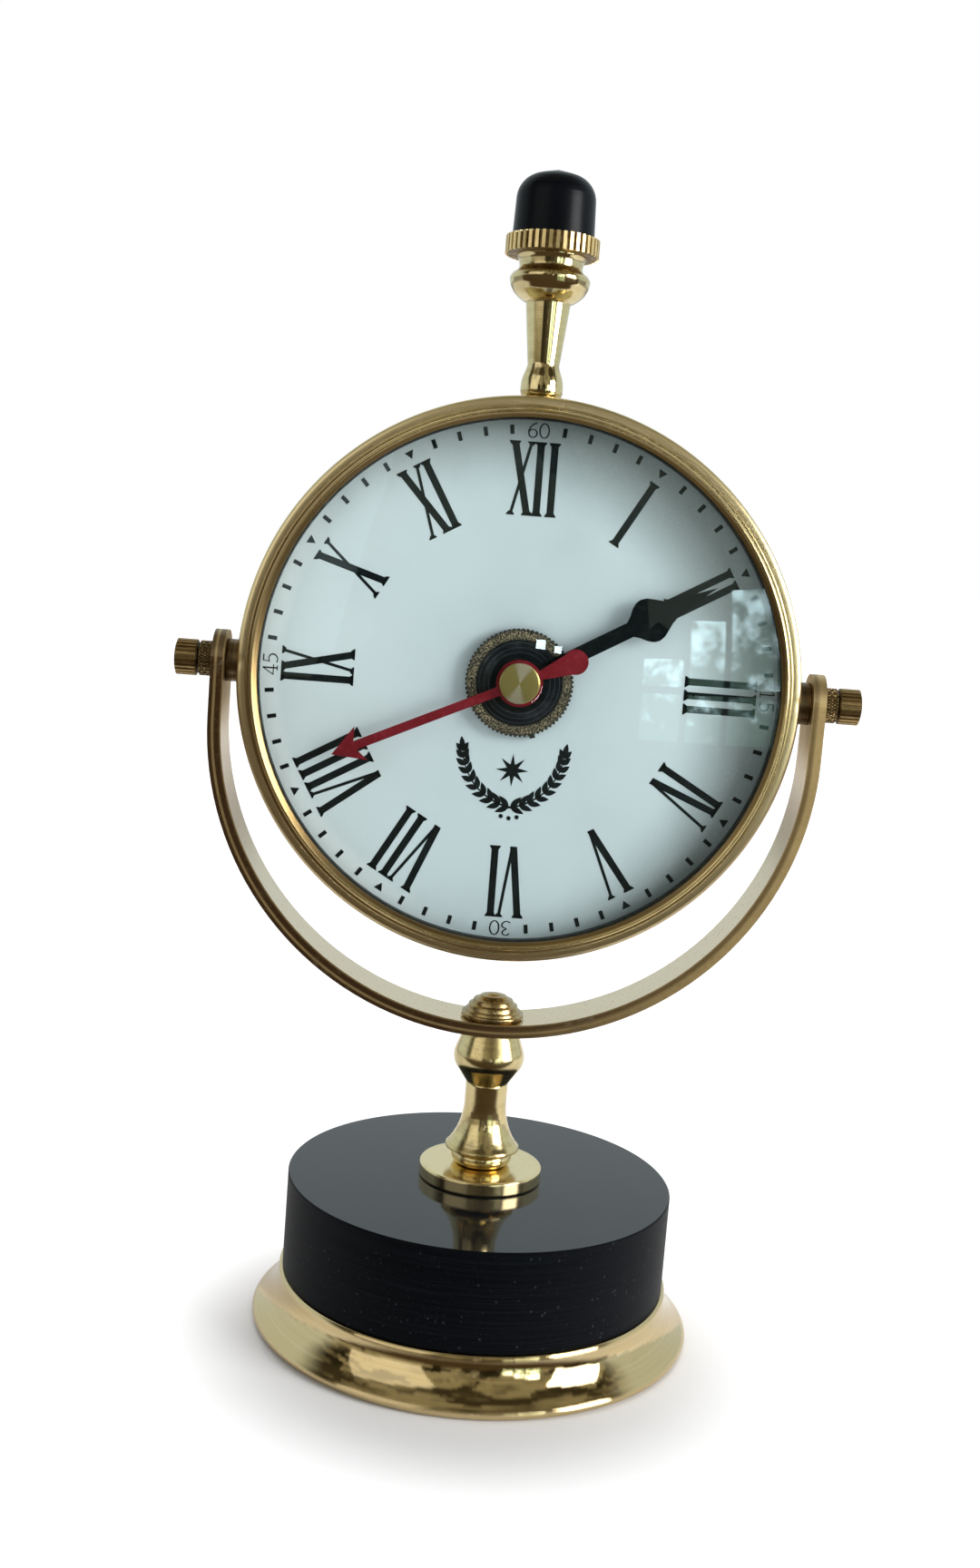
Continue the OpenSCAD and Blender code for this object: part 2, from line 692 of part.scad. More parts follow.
module yoke() color(brass) difference() {
    intersection() {
        translate([0, strap_w / 2, 0]) rotate([90, 0, 0]) linear_extrude(strap_w) yoke_outline();
        union() {
            translate([-yoke_r - over, -strap_w, 0])
                cube([yoke_r + yoke_r + over + over, strap_w + strap_w, pivot_z]);
            translate([-yoke_r - over, 0, pivot_z]) rotate([0, 90, 0])
                cylinder(r = strap_w / 2, h = yoke_r + yoke_r + over + over, $fn = smooth);
        }
    }
    translate([-yoke_r - over, 0, pivot_z]) rotate([0, 90, 0])
        cylinder(r = shank_r + run_gap, h = yoke_r + yoke_r + over + over, $fn = smooth);
    translate([0, 0, yoke_z - over])
        cylinder(r = vase_seat_r + fit_gap, h = strap_spot + over, $fn = smooth);
    translate([0, 0, yoke_z - over]) cylinder(r = rod_r + run_gap, h = strap_t + over + over, $fn = smooth);
    translate([0, 0, dome_z]) cylinder(r = dome_r + fit_gap, h = strap_t, $fn = smooth);
}

// The right thumb screw; side = -1 mirrors its place
module thumb_screw(side) color(aged) translate([0, 0, pivot_z]) rotate([0, 90 * side, 0]) {
    rod(shank_r, shank_in_x, thumb_x + thumb_chamfer);
    translate([0, 0, thumb_x + thumb_chamfer / 2])
        fluted(thumb_r, thumb_len - thumb_chamfer, thumb_flutes, flute_d, flute_share);
    turned([[0, thumb_x], [thumb_r - thumb_chamfer, thumb_x], [thumb_r - flute_d, thumb_x + thumb_chamfer],
            [thumb_r - flute_d, thumb_x + thumb_len - thumb_chamfer],
            [thumb_r - thumb_chamfer - flute_d, thumb_x + thumb_len], [0, thumb_x + thumb_len]]);
}

module lock_collar(side) color(aged) translate([0, 0, pivot_z]) rotate([0, 90 * side, 0]) difference() {
    translate([0, 0, yoke_r + run_gap]) fluted(lock_r, lock_len, thumb_flutes, flute_d / 2, flute_share);
    rod(shank_r + run_gap, yoke_r - over, thumb_x);
}

module pivot_boss(side) color(brass) translate([0, 0, pivot_z]) rotate([0, 90 * side, 0])
    tube(boss_r, shank_r + run_gap, boss_in_r, boss_out_x);

// Holes down and up through the case for the plug and the finial
module end_holes(plug, top) {
    rotate([90, 0, 0]) rod(plug, ledge_in_r - over, band_r + over);
    upward() rod(top, ledge_in_r - over, band_r + over);
}

module case_band() color(brass) in_case() difference() {
    turned(concat(
        [[band_in_r, band_back]],
        arc([band_r - band_round, band_back + band_round], band_round, band_round, -90, 0),
        arc([band_r - band_round, band_front - band_round], band_round, band_round, 0, 90),
        [[band_in_r, band_front]]));
    end_holes(plug_r + fit_gap, finial_boss_r + fit_gap);
    for (side = [-1, 1]) rotate([0, 90 * side, 0]) rod(boss_r + fit_gap, shell_r - over, band_r + over);
}

module case_shell() color(brass) in_case() difference() {
    turned(concat(
        [[back_open_r, cover_front]],
        arc([shell_r - shell_corner, cover_front + shell_corner], shell_corner, shell_corner, -90, 0),
        [[shell_r, rim_front], [rim_in_r, rim_front], [rim_in_r, ledge_front], [ledge_in_r, ledge_front],
         [ledge_in_r, ledge_front - ledge_t], [shell_in_r, ledge_front - ledge_t]],
        arc([shell_r - shell_corner, cover_front + shell_corner], shell_corner - shell_wall,
            shell_corner - shell_wall, 0, -90),
        [[back_open_r, cover_front + shell_wall]]));
    end_holes(plug_spigot_r + fit_gap, fin_screw_r + fit_gap);
    cover_screw_places() rod(cover_screw_r + run_gap, cover_front - over, cover_front + shell_wall + over);
}

// Places of the screws that hold the back cover
module cover_screw_places() {
    for (i = [0:cover_screw_count - 1]) rotate([0, 0, (i + 0.5) * 360 / cover_screw_count])
        translate([cover_screw_ring, 0, 0]) children();
}

module bezel() color(brass) in_case() turned(concat(
    [[skirt_in_r, dial_face + near_gap], [skirt_out_r, dial_face + near_gap], [skirt_out_r, rim_front],
     [bezel_r, rim_front]],
    arc([bezel_r - bezel_step_round, rim_front + bezel_step_h - bezel_step_round],
        bezel_step_round, bezel_step_round, 0, 90),
    [[glass_r + bead_w, rim_front + bezel_step_h]],
    arc([glass_r + bead_w * bezel_crest_share, rim_front + bezel_h * bezel_edge_share],
        bead_w - bead_w * bezel_crest_share, bezel_h - bezel_h * bezel_edge_share, 0, 90),
    [[glass_r, bezel_front - bezel_h * (1 - bezel_edge_share)], [glass_r, glass_front + lip_rise + run_gap],
     [skirt_in_r, glass_front + run_gap]]));

module crystal() color(glass) in_case() intersection() {
    difference() {
        translate([0, 0, glass_front + glass_rise - dome_in_r]) sphere(r = dome_in_r, $fn = smooth);
        translate([0, 0, glass_back + glass_rise - dome_in_r]) sphere(r = dome_in_r, $fn = smooth);
    }
    rod(crystal_r, glass_back, glass_front + glass_rise + over);
}

module crystal_spacer() color(grey) in_case()
    tube(crystal_r - run_gap, crystal_r - spacer_w, dial_face, glass_back);

module dial() color(pale) in_case() tube(dial_r, nut_bore_r, ledge_front, dial_face);

module dial_nut() color(aged) in_case() difference() {
    union() {
        rod(dial_nut_r - flute_d, dial_face, nut_front);
        translate([0, 0, dial_face + near_gap])
            fluted(dial_nut_r, nut_front - dial_face - near_gap, nut_flutes, flute_d, flute_share);
        rotate([0, 0, nut_tab_turn]) translate([-nut_tab_w / 2, -dial_nut_r - nut_tab_out, dial_face])
            cube([nut_tab_w, dial_nut_rim + nut_tab_out, nut_front - dial_face]);
    }
    rod(dial_nut_r - dial_nut_rim, nut_floor, nut_front + over);
    rod(nut_bore_r, dial_face - over, nut_front + over);
}

module bottom_plug() color(brass) in_case() rotate([90, 0, 0]) {
    rod(plug_r, boss_in_r, band_r);
    rod(plug_spigot_r, shell_in_r - spigot_in, boss_in_r + fit_gap);
}

module finial_boss() color(brass) in_case() upward()
    tube(finial_boss_r, fin_screw_r + run_gap, boss_in_r, fin_z);

module finial_screw() color(steel) in_case() upward() {
    rod(fin_screw_r, shell_in_r - fin_screw_head_h, fin_z + fin_bore_h - fit_gap);
    rod(fin_screw_head_r, shell_in_r - fin_screw_head_h - near_gap, shell_in_r - near_gap);
}

module finial_stem() color(brass) in_case() upward() difference() {
    turned(concat(
        [[0, fin_z], [fin_foot_r * fin_lip_share, fin_z]],
        spread(fin_foot_shares, fin_waist_r, fin_foot_r, fin_z, fin_waist_z),
        spread(bowl_shares, fin_stem_r, fin_bowl_r, fin_bowl_z, fin_wide_z),
        spread(shoulder_shares, fin_neck_r, fin_bowl_r, fin_wide_z, ferrule_z),
        [[0, ferrule_z]]));
    rod(fin_screw_r + run_gap, fin_z - over, fin_z + fin_bore_h);
    rod(knob_spigot_r + run_gap, ferrule_z - knob_spigot_h, ferrule_z + over);
}

module finial_ferrule() color(brass) in_case() upward() difference() {
    union() {
        translate([0, 0, ferrule_z]) fluted(ferrule_r, ferrule_h, ferrule_slots, slot_d, slot_share);
        rod(ferrule_r - slot_d, ferrule_z, knob_z);
    }
    rod(knob_spigot_r + run_gap, ferrule_z - over, knob_z + over);
}

module finial_knob() color(black) in_case() upward() {
    top_r = knob_r - knob_draft;
    edge_z = knob_z + knob_h - knob_crown - knob_round;
    turned(concat(
        [[0, knob_z], [knob_r, knob_z]],
        arc([top_r - knob_round, edge_z], knob_round, knob_round, 0, 75),
        [[0, knob_z + knob_h]]));
    rod(knob_spigot_r, ferrule_z - knob_spigot_h + run_gap, knob_z + over);
}

module back_cover() color(brass) in_case() difference() {
    rod(cover_r, cover_front - cover_t, cover_front);
    translate(setting_at) rod(cover_hole_r, cover_front - cover_t - over, cover_front + over);
    cover_screw_places() rod(cover_screw_r + run_gap, cover_front - cover_t - over, cover_front + over);
}

module cover_screws() color(brass) in_case() cover_screw_places() {
    rod(cover_screw_r, cover_front - cover_t, cover_front + cover_screw_in);
    rod(cover_head_r, cover_front - cover_t - cover_head_h, cover_front - cover_t);
}

// Places of the screws that hold the movement's lid
module lid_screw_places() {
    for (at = [[-1, 1], [1, 1], [-1, -1], [1, -1]])
        translate([at[0] * (inner_half - lid_screw_in),
                   at[1] > 0 ? inner_half - lid_screw_in : chamber_low + lid_screw_in, 0])
            children();
}

// Arbor holes through the movement's front wall and lid
module arbor_holes(low, high) {
    for (at = [third_at, motion_at, seconds_at, rotor_at]) translate(at) rod(thin_arbor_r + run_gap, low, high);
}

// Box from y0 to y1 whose two upper corners are cut
function cut_box(x, y0, y1, cut) =
    [[-x, y0], [x, y0], [x, y1 - cut], [x - cut, y1], [cut - x, y1], [-x, y1 - cut]];

// A flat plate of that outline between two depths
module plate(outline, low, high) translate([0, 0, low]) linear_extrude(high - low) polygon(outline);

module movement_housing() color(black) in_case() difference() {
    plate(cut_box(half_w, -half_w, half_w, house_corner), house_back, house_front);
    difference() {
        plate(cut_box(inner_half, chamber_low, inner_half, pocket_corner), house_back - over, chamber_front);
        lid_screw_places() rod(lid_post_r, lid_front, house_front);
    }
    translate([-inner_half, -inner_half, house_back - over])
        cube([inner_half + inner_half, bay_top + inner_half, chamber_front - house_back + over]);
    rod(bush_r + run_gap, chamber_front - over, house_front + over);
    arbor_holes(chamber_front - over, house_front + over);
    lid_screw_places() rod(lid_screw_r + run_gap, lid_front - over, lid_front + lid_screw_len);
}

module movement_cover() color(grey) in_case() difference() {
    plate(cut_box(inner_half - fit_gap, chamber_low + fit_gap, inner_half - fit_gap, pocket_corner),
          house_back, lid_front);
    rod(arbor_tail_r + run_gap, house_back - over, lid_front + over);
    arbor_holes(house_back - over, lid_front + over);
    translate(setting_at) rod(set_stem_r + run_gap, house_back - over, lid_front + over);
    lid_screw_places() rod(lid_screw_r + run_gap, house_back - over, lid_front + over);
}

module movement_screws() color(steel) in_case() lid_screw_places() {
    rod(lid_screw_r, house_back, lid_front + lid_screw_len - near_gap);
    rod(lid_head_r, house_back - lid_head_h, house_back);
}

module rubber_washer() color(black) in_case()
    tube(bush_r + bush_r, bush_r + run_gap, house_front, ledge_front);

module centre_bush() color(brass) in_case() difference() {
    union() {
        rod(bush_r, bush_back, nut_floor);
        rod(bush_flange_r, bush_back, chamber_front);
    }
    rod(bush_bore_r, bush_back - over, nut_floor + over);
}

module battery() color(copper) in_case() translate([0, battery_y, battery_d]) rotate([0, 90, 0]) {
    nub_len = 1.2;
    nub_r = 2.6;
    translate([0, 0, -battery_len / 2]) cylinder(r = battery_r, h = battery_len - nub_len, $fn = smooth);
    translate([0, 0, battery_len / 2 - nub_len]) cylinder(r = nub_r, h = nub_len, $fn = smooth);
}

module battery_contacts() color(steel) in_case() for (side = [-1, 1]) {
    wall_x = side > 0 ? inner_half - contact_t : -inner_half;
    gap = inner_half - battery_len / 2 - contact_t;
    translate([wall_x, battery_y - contact_w / 2, battery_d - contact_w / 2])
        cube([contact_t, contact_w, contact_w]);
    spring_r = 2.2;
    translate([side > 0 ? battery_len / 2 + run_gap : -inner_half + contact_t / 2, battery_y, battery_d])
        rotate([0, 90, 0]) cylinder(r = spring_r, h = gap + contact_t / 2 - run_gap, $fn = smooth);
}

module circuit_board() color(green) in_case()
    translate([-inner_half + near_gap, chamber_low + lid_screw_in + lid_post_r + near_gap, chamber_front - board_t])
        cube([board_w, board_len, board_t]);

module coil_core() color(steel) in_case() translate([coil_at_x, coil_mid_y, coil_d]) upward()
    rod(coil_core_r, -coil_len / 2 - stator_w / 2, coil_len / 2 + stator_w / 2);

module coil_winding() color(copper) in_case() translate([coil_at_x, coil_mid_y, coil_d]) upward()
    tube(coil_r, coil_core_r + run_gap, -coil_len / 2 + near_gap, coil_len / 2 - near_gap);

module stator_plate() color(steel) in_case() difference() {
    translate([rotor_at[0] - stator_w / 2, rotor_at[1] - stator_w / 2, stator_d - stator_t])
        cube([coil_at_x + coil_r - rotor_at[0] + stator_w / 2, stator_w, stator_t]);
    translate(rotor_at) rod(rotor_hole_r, house_back, chamber_front);
}

module stepper_rotor() color(grey) in_case() translate(rotor_at) {
    rod(rotor_r, stator_d - stator_t / 2 - rotor_t / 2, stator_d - stator_t / 2 + rotor_t / 2);
    rod(rotor_pin_r, level(4) - wheel_t, stator_d);
    rod(thin_arbor_r, house_back + fit_gap, house_front - fit_gap);
}

module minute_hand() color(black) in_case() rotate([0, 0, -minute_turn]) difference() {
    union() {
        rod(minute_eye_r, hub_step_front, minute_hand_front);
        plate(concat([[-minute_w / 2, 0]],
            [for (s = spade_shares) [-spade_w / 2 * s[1], minute_len * s[0]]],
            [[0, minute_len]],
            [for (i = [len(spade_shares) - 1:-1:0])
                [spade_w / 2 * spade_shares[i][1], minute_len * spade_shares[i][0]]],
            [[minute_w / 2, 0]]), hub_step_front, minute_hand_front);
    }
    rod(pipe_r + run_gap, hub_back, pipe_front + over);
}

module minute_hub() color(black) in_case() difference() {
    union() {
        rod(hub_r, hub_back, hub_front);
        rod(hub_step_r, hub_back, hub_step_front);
    }
    rod(pipe_r + run_gap, hub_back - over, hub_step_front + over);
}

module minute_pipe() color(brass) in_case() difference() {
    union() {
        rod(pipe_r, level(1) - wheel_t - near_gap, pipe_front);
        translate([0, 0, level(0) - wheel_t]) toothed(centre_teeth, centre_mod, wheel_t, third_dir);
        translate([0, 0, level(1) - wheel_t]) toothed(minute_leaves, motion_mod, wheel_t, motion_dir);
    }
    rod(arbor_r + run_gap, level(2), pipe_front + over);
}

module hour_hand() color(red) in_case() rotate([0, 0, -hour_hand_turn]) difference() {
    union() {
        rod(hour_hub_r, hour_hand_back, hour_hand_front);
        translate([0, -tail_len, 0]) rod(tail_r, hour_hand_back, hour_hand_front);
        plate([[0, 0], [-tail_r * tail_side_share, tail_r * tail_rise_share - tail_len],
               [tail_r * tail_side_share, tail_r * tail_rise_share - tail_len]],
              hour_hand_back, hour_hand_front);
        plate([[-hour_w / 2, 0], [-hour_w / 2, hour_len - arrow_len * arrow_back_share],
               [-arrow_w / 2, hour_len - arrow_len], [0, hour_len], [arrow_w / 2, hour_len - arrow_len],
               [hour_w / 2, hour_len - arrow_len * arrow_back_share], [hour_w / 2, 0]],
              hour_hand_back, hour_hand_front);
    }
    rod(arbor_r + run_gap, hour_hand_back - over, hour_hand_front + over);
}

module hour_arbor() color(steel) in_case() {
    rod(arbor_r, level(2) - wheel_t, arbor_front);
    rod(arbor_tail_r, house_back + fit_gap, level(2));
    translate([0, 0, level(2) - wheel_t]) toothed(hour_teeth, hour_mod, wheel_t, hour_turn);
}

module hand_cap() color(brass) in_case() difference() {
    rod(cap_r, hour_hand_front, cap_front);
    rod(arbor_r + run_gap, hour_hand_front - over, arbor_front + run_gap);
}

module motion_wheel() color(brass) in_case() translate(motion_at) {
    rod(thin_arbor_r, house_back + fit_gap, house_front - fit_gap);
    translate([0, 0, level(1) - wheel_t]) toothed(motion_teeth, motion_mod, wheel_t, motion_turn);
    translate([0, 0, level(2) - wheel_t])
        toothed(motion_leaves, hour_mod, level(1) - level(2), motion_dir + 180);
}

module third_wheel() color(brass) in_case() translate(third_at) {
    rod(thin_arbor_r, house_back + fit_gap, house_front - fit_gap);
    translate([0, 0, level(0) - wheel_t]) toothed(third_leaves, centre_mod, wheel_t, third_turn);
    translate([0, 0, level(3) - wheel_t]) toothed(third_teeth, third_mod, wheel_t, seconds_dir);
}

module seconds_wheel() color(brass) in_case() translate(seconds_at) {
    rod(thin_arbor_r, house_back + fit_gap, house_front - fit_gap);
    translate([0, 0, level(3) - wheel_t]) toothed(seconds_leaves, third_mod, wheel_t, seconds_turn);
    translate([0, 0, level(4) - wheel_t]) toothed(seconds_teeth, seconds_mod, wheel_t, 0);
}

module setting_knob() color(black) in_case() translate(setting_at) {
    rod(set_stem_r, set_knob_front - over, level(1) - wheel_t + fit_gap);
    translate([0, 0, level(1) - wheel_t]) toothed(setting_leaves, motion_mod, wheel_t, setting_turn);
    translate([0, 0, set_knob_front - set_knob_h])
        fluted(set_knob_r, set_knob_h, thumb_flutes, set_knob_depth, flute_share);
}

felt_pad();
brass_foot();
wood_disc();
pillar_flange();
neck_ring();
pillar_column();
vase_collar();
tie_rod();
rod_washer();
rod_nut();
dome_nut();
yoke();
thumb_screw(-1);  // left_thumb_screw
thumb_screw(1);  // right_thumb_screw
lock_collar(-1);  // left_lock_collar
lock_collar(1);  // right_lock_collar
case_band();
case_shell();
bezel();
crystal();
crystal_spacer();
dial();
dial_nut();
pivot_boss(-1);  // left_pivot_boss
pivot_boss(1);  // right_pivot_boss
bottom_plug();
finial_boss();
finial_screw();
finial_stem();
finial_ferrule();
finial_knob();
back_cover();
cover_screws();
movement_housing();
movement_cover();
movement_screws();
rubber_washer();
centre_bush();
battery();
battery_contacts();
circuit_board();
coil_core();
coil_winding();
stator_plate();
stepper_rotor();
minute_hand();
minute_hub();
minute_pipe();
hour_hand();
hour_arbor();
hand_cap();
motion_wheel();
third_wheel();
seconds_wheel();
setting_knob();
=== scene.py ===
"""Looks of a tilting table clock, dressed over its packed construction model."""
import json
import logging
import math
from dataclasses import dataclass, field
from enum import Enum
from functools import cached_property
from typing import Callable, Iterable, Sequence

import bmesh
import bpy
from mathutils import Matrix, Vector


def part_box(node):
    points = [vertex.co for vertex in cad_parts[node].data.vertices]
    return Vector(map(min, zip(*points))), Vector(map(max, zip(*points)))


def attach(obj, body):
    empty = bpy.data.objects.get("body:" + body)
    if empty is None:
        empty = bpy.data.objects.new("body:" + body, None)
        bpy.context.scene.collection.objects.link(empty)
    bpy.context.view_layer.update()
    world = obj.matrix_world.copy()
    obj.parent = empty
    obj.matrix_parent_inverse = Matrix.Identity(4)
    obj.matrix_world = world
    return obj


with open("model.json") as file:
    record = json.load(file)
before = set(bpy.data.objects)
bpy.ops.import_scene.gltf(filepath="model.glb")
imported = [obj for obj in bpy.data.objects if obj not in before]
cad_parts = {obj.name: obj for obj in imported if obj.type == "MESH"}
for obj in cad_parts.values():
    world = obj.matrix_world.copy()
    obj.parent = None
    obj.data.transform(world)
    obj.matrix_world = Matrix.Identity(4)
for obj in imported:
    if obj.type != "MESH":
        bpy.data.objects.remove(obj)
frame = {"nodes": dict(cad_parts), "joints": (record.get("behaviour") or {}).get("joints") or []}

LOG = logging.getLogger("clock")
MM = 0.001
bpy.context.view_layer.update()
Socket = bpy.types.NodeSocket
Point2 = tuple[float, float]
Point3 = tuple[float, float, float]
Colour = Point3
WHITE: Colour = (1.0, 1.0, 1.0)
METAL = {"Metallic": 1.0}
CENTRE, X_AXIS, Y_AXIS, Z_AXIS = Vector(), Vector((1, 0, 0)), Vector((0, 1, 0)), Vector((0, 0, 1))


class Turning(Enum):
    """The axis a piece was turned or brushed about."""

    UPRIGHT = "upright"
    DIAL = "dial"
    TILT = "tilt"
    FINIAL = "finial"


# ---------------------------------------------------------------- shader maths


def operation(name: str, meaning: str, swapped: bool = False) -> Callable[..., "Value"]:
    """A method of a value that adds one Math node.

    Args:
        name: the node's operation.
        meaning: the method's own description.
        swapped: whether the other term comes first.
    Returns:
        The method.
    """
    def method(self: "Value", *others: "Value | float") -> "Value":
        terms = (*others, self) if swapped else (self, *others)
        return self.graph.value("Math", dict(enumerate(terms)), operation=name)

    method.__doc__ = meaning
    return method


class Value:
    """A number that varies over a surface, held as a node's output socket."""

    def __init__(self, graph: "Graph", socket: Socket) -> None:
        """Keeps the graph and the socket that carries the number."""
        self.graph = graph
        self.socket = socket

    __add__ = __radd__ = operation("ADD", "Sum.")
    __sub__ = operation("SUBTRACT", "Difference.")
    __rsub__ = operation("SUBTRACT", "Difference, taken from a plain number.", swapped=True)
    __mul__ = __rmul__ = operation("MULTIPLY", "Product.")
    __truediv__ = operation("DIVIDE", "Quotient.")
    __pow__ = operation("POWER", "Power.")
    root = operation("SQRT", "Square root.")
    angle = operation("ARCTAN2", "Angle of the point (other, self), in radians.")
    least = operation("MINIMUM", "The smaller of two.")
    most = operation("MAXIMUM", "The larger of two.")
    size = operation("ABSOLUTE", "Absolute value.")
    wave = operation("SINE", "Sine.")

    def ramp(self, low: float, high: float) -> "Value":
        """Rises smoothly from nought to one between two levels, or falls if the first is the higher."""
        settings = {"interpolation_type": "SMOOTHSTEP", "clamp": True}
        return self.graph.value("MapRange", {"Value": self, "From Min": low, "From Max": high}, **settings)

    def bounded(self) -> "Value":
        """No more than one."""
        return self.least(1.0)


class Graph:
    """The node tree of one material or of the world."""

    def __init__(self, tree: bpy.types.NodeTree) -> None:
        """Empties the tree and starts on it."""
        self.tree = tree
        tree.nodes.clear()

    def node(self, kind: str, inputs: dict | None = None, **settings: object) -> bpy.types.Node:
        """Adds a node.

        Args:
            kind: its type, without "ShaderNode" in front.
            inputs: values or links of its sockets, by name or place.
            settings: its properties, which are set first.
        Returns:
            The node.
        """
        made = self.tree.nodes.new(f"ShaderNode{kind}")
        for name, setting in settings.items():
            setattr(made, name, setting)
        for name, given in (inputs or {}).items():
            socket = made.inputs[name]
            source = given.socket if isinstance(given, Value) else given
            if isinstance(source, Socket):
                self.tree.links.new(source, socket)
            elif hasattr(socket.default_value, "__len__") and len(socket.default_value) == 4:
                socket.default_value = (*source, 1.0)
            else:
                socket.default_value = source
        return made

    def value(self, kind: str, inputs: dict, output: str | int = 0, **settings: object) -> Value:
        """Adds a node and takes one of its outputs as a value."""
        return Value(self, self.node(kind, inputs, **settings).outputs[output])

    @cached_property
    def place(self) -> Socket:
        """The surface point in the clock's own frame, in metres."""
        return self.node("TexCoord").outputs["Object"]

    @cached_property
    def rays(self) -> bpy.types.Node:
        """The node that tells kinds of rays apart."""
        return self.node("LightPath")

    def vector(self, name: str, *terms: object, output: str = "Vector") -> Socket:
        """Adds a Vector Math node on the given vectors and returns the named output."""
        return self.node("VectorMath", dict(enumerate(terms)), operation=name).outputs[output]

    def dot(self, link: Socket, along: Iterable[float]) -> Value:
        """Scalar product of a linked vector and a plain one."""
        return Value(self, self.vector("DOT_PRODUCT", link, tuple(along), output="Value"))

    def along(self, axis: Vector, origin: Vector = CENTRE) -> Value:
        """Distance of the surface point along an axis, from an origin, in millimetres."""
        return self.dot(self.vector("SUBTRACT", self.place, tuple(origin)), axis) * (1 / MM)

    def point(self, x: Value | float, y: Value | float, z: Value | float) -> Socket:
        """A vector of three values."""
        return self.node("CombineXYZ", {"X": x, "Y": y, "Z": z}).outputs[0]

    def stretched(self, x: float, y: float, z: float) -> Socket:
        """The surface point with each of its distances multiplied."""
        return self.vector("MULTIPLY", self.place, (x, y, z))

    def noise(self, scale: float, detail: float = 3.0, rough: float = 0.55, warp: float = 0.0,
              where: Socket | None = None) -> Value:
        """Cloudy noise.

        Args:
            scale: its frequency.
            detail, rough, warp: octaves, their strength, and distortion.
            where: the place it is read at, if not the surface point.
        Returns:
            A value around one half.
        """
        inputs = {"Vector": self.place if where is None else where, "Scale": scale, "Detail": detail,
                  "Roughness": rough, "Distortion": warp}
        return self.value("TexNoise", inputs)

    def cells(self, scale: float, where: Socket | None = None) -> Value:
        """Distance to the nearest of scattered points."""
        inputs = {"Vector": self.place if where is None else where, "Scale": scale}
        return self.value("TexVoronoi", inputs, "Distance")

    def blocks(self, scale: float, where: Socket) -> Value:
        """A random level for each square-cornered patch."""
        made = self.node("TexVoronoi", {"Vector": where, "Scale": scale}, distance="CHEBYCHEV")
        return self.dot(made.outputs["Color"], X_AXIS)

    def blend(self, share: Value | float, first: Socket | Colour, second: Socket | Colour) -> Socket:
        """Blends two colours, each a colour or a link, by a share."""
        return self.node("Mix", {0: share, 6: first, 7: second}, data_type="RGBA").outputs[2]

    def glow(self, colour: Socket | Colour, strength: float = 1.0) -> Socket:
        """A shader that shines in one colour."""
        return self.node("Emission", {"Color": colour, "Strength": strength}).outputs[0]

    def mixed(self, share: Value, first: Socket, second: Socket) -> Socket:
        """Mixes two shaders by a share."""
        return self.node("MixShader", {0: share, 1: first, 2: second}).outputs[0]

    def surface(self, colour: Socket, roughness: Value, marks: Value, more: dict | None = None,
                edges: Socket | None = None) -> Socket:
        """The main shader.

        Args:
            colour, roughness: what it looks like.
            marks: height of the marks in it, in millimetres.
            more: further inputs by name.
            edges: the normal that the marks are laid on, if not the plain one.
        Returns:
            The shader.
        """
        relief = {"Height": marks, "Distance": MM, "Strength": 1.0}
        if edges is not None:
            relief["Normal"] = edges
        normal = self.node("Bump", relief).outputs[0]
        inputs = {"Base Color": colour, "Roughness": roughness, "Normal": normal, **(more or {})}
        return self.node("BsdfPrincipled", inputs).outputs[0]

    def finish(self, shader: Socket, output: str = "OutputMaterial") -> None:
        """Joins the last shader to the output."""
        self.node(output, {"Surface": shader})


def make_material(name: str, paint: Callable[[Graph], Socket]) -> bpy.types.Material:
    """A material, made once.

    Args:
        name: its name.
        paint: adds its nodes and returns the shader.
    Returns:
        The material.
    """
    made = bpy.data.materials.get(name)
    if made is None:
        made = bpy.data.materials.new(name)
        made.use_nodes = True
        graph = Graph(made.node_tree)
        graph.finish(paint(graph))
    return made


def add_object(name: str, data: bpy.types.ID) -> bpy.types.Object:
    """Links a new object with the given data into the scene."""
    made = bpy.data.objects.new(name, data)
    bpy.context.scene.collection.objects.link(made)
    return made


# ---------------------------------------------------------------- frames of the clock


@dataclass(frozen=True)
class Axes:
    """An origin and three directions."""

    origin: Vector
    right: Vector
    up: Vector
    forward: Vector

    @property
    def matrix(self) -> Matrix:
        """Places a piece drawn with x right, y up and z forward."""
        turn = Matrix((self.right, self.up, self.forward)).transposed().to_4x4()
        return Matrix.Translation(self.origin) @ turn

    def reach(self, node: str) -> float:
        """How far a CAD node comes forward along this frame's forward axis, in metres."""
        return max((v.co - self.origin).dot(self.forward) for v in frame["nodes"][node].data.vertices)


def dial_axes() -> Axes:
    """The frame of the dial, worked out from the minute hand's joint."""
    spin = next(joint for joint in frame["joints"] if joint["name"] == "minute_turn")
    forward = -Vector(spin["axis"]).normalized()
    right = Vector((1.0, 0.0, 0.0))
    return Axes(Vector(spin["pos_m"]), right, forward.cross(right), forward)


DIAL = dial_axes()
AXES = {
    Turning.UPRIGHT: Axes(CENTRE, X_AXIS, Y_AXIS, Z_AXIS),
    Turning.DIAL: DIAL,
    Turning.TILT: Axes(DIAL.origin, Y_AXIS, Z_AXIS, X_AXIS),
    Turning.FINIAL: Axes(DIAL.origin, DIAL.right, -DIAL.forward, DIAL.up),
}


def polar(graph: Graph, turning: Turning) -> tuple[Value, Value, Value, Value, Value]:
    """Turned coordinates of a surface point.

    Args:
        graph: the material's graph.
        turning: the axis that the piece was turned about.
    Returns:
        Radius and depth in millimetres, the angle in radians, and the two distances across.
    """
    axes = AXES[turning]
    x, y, z = (graph.along(way, axes.origin) for way in (axes.right, axes.up, axes.forward))
    return (x * x + y * y).root(), z, y.angle(x), x, y


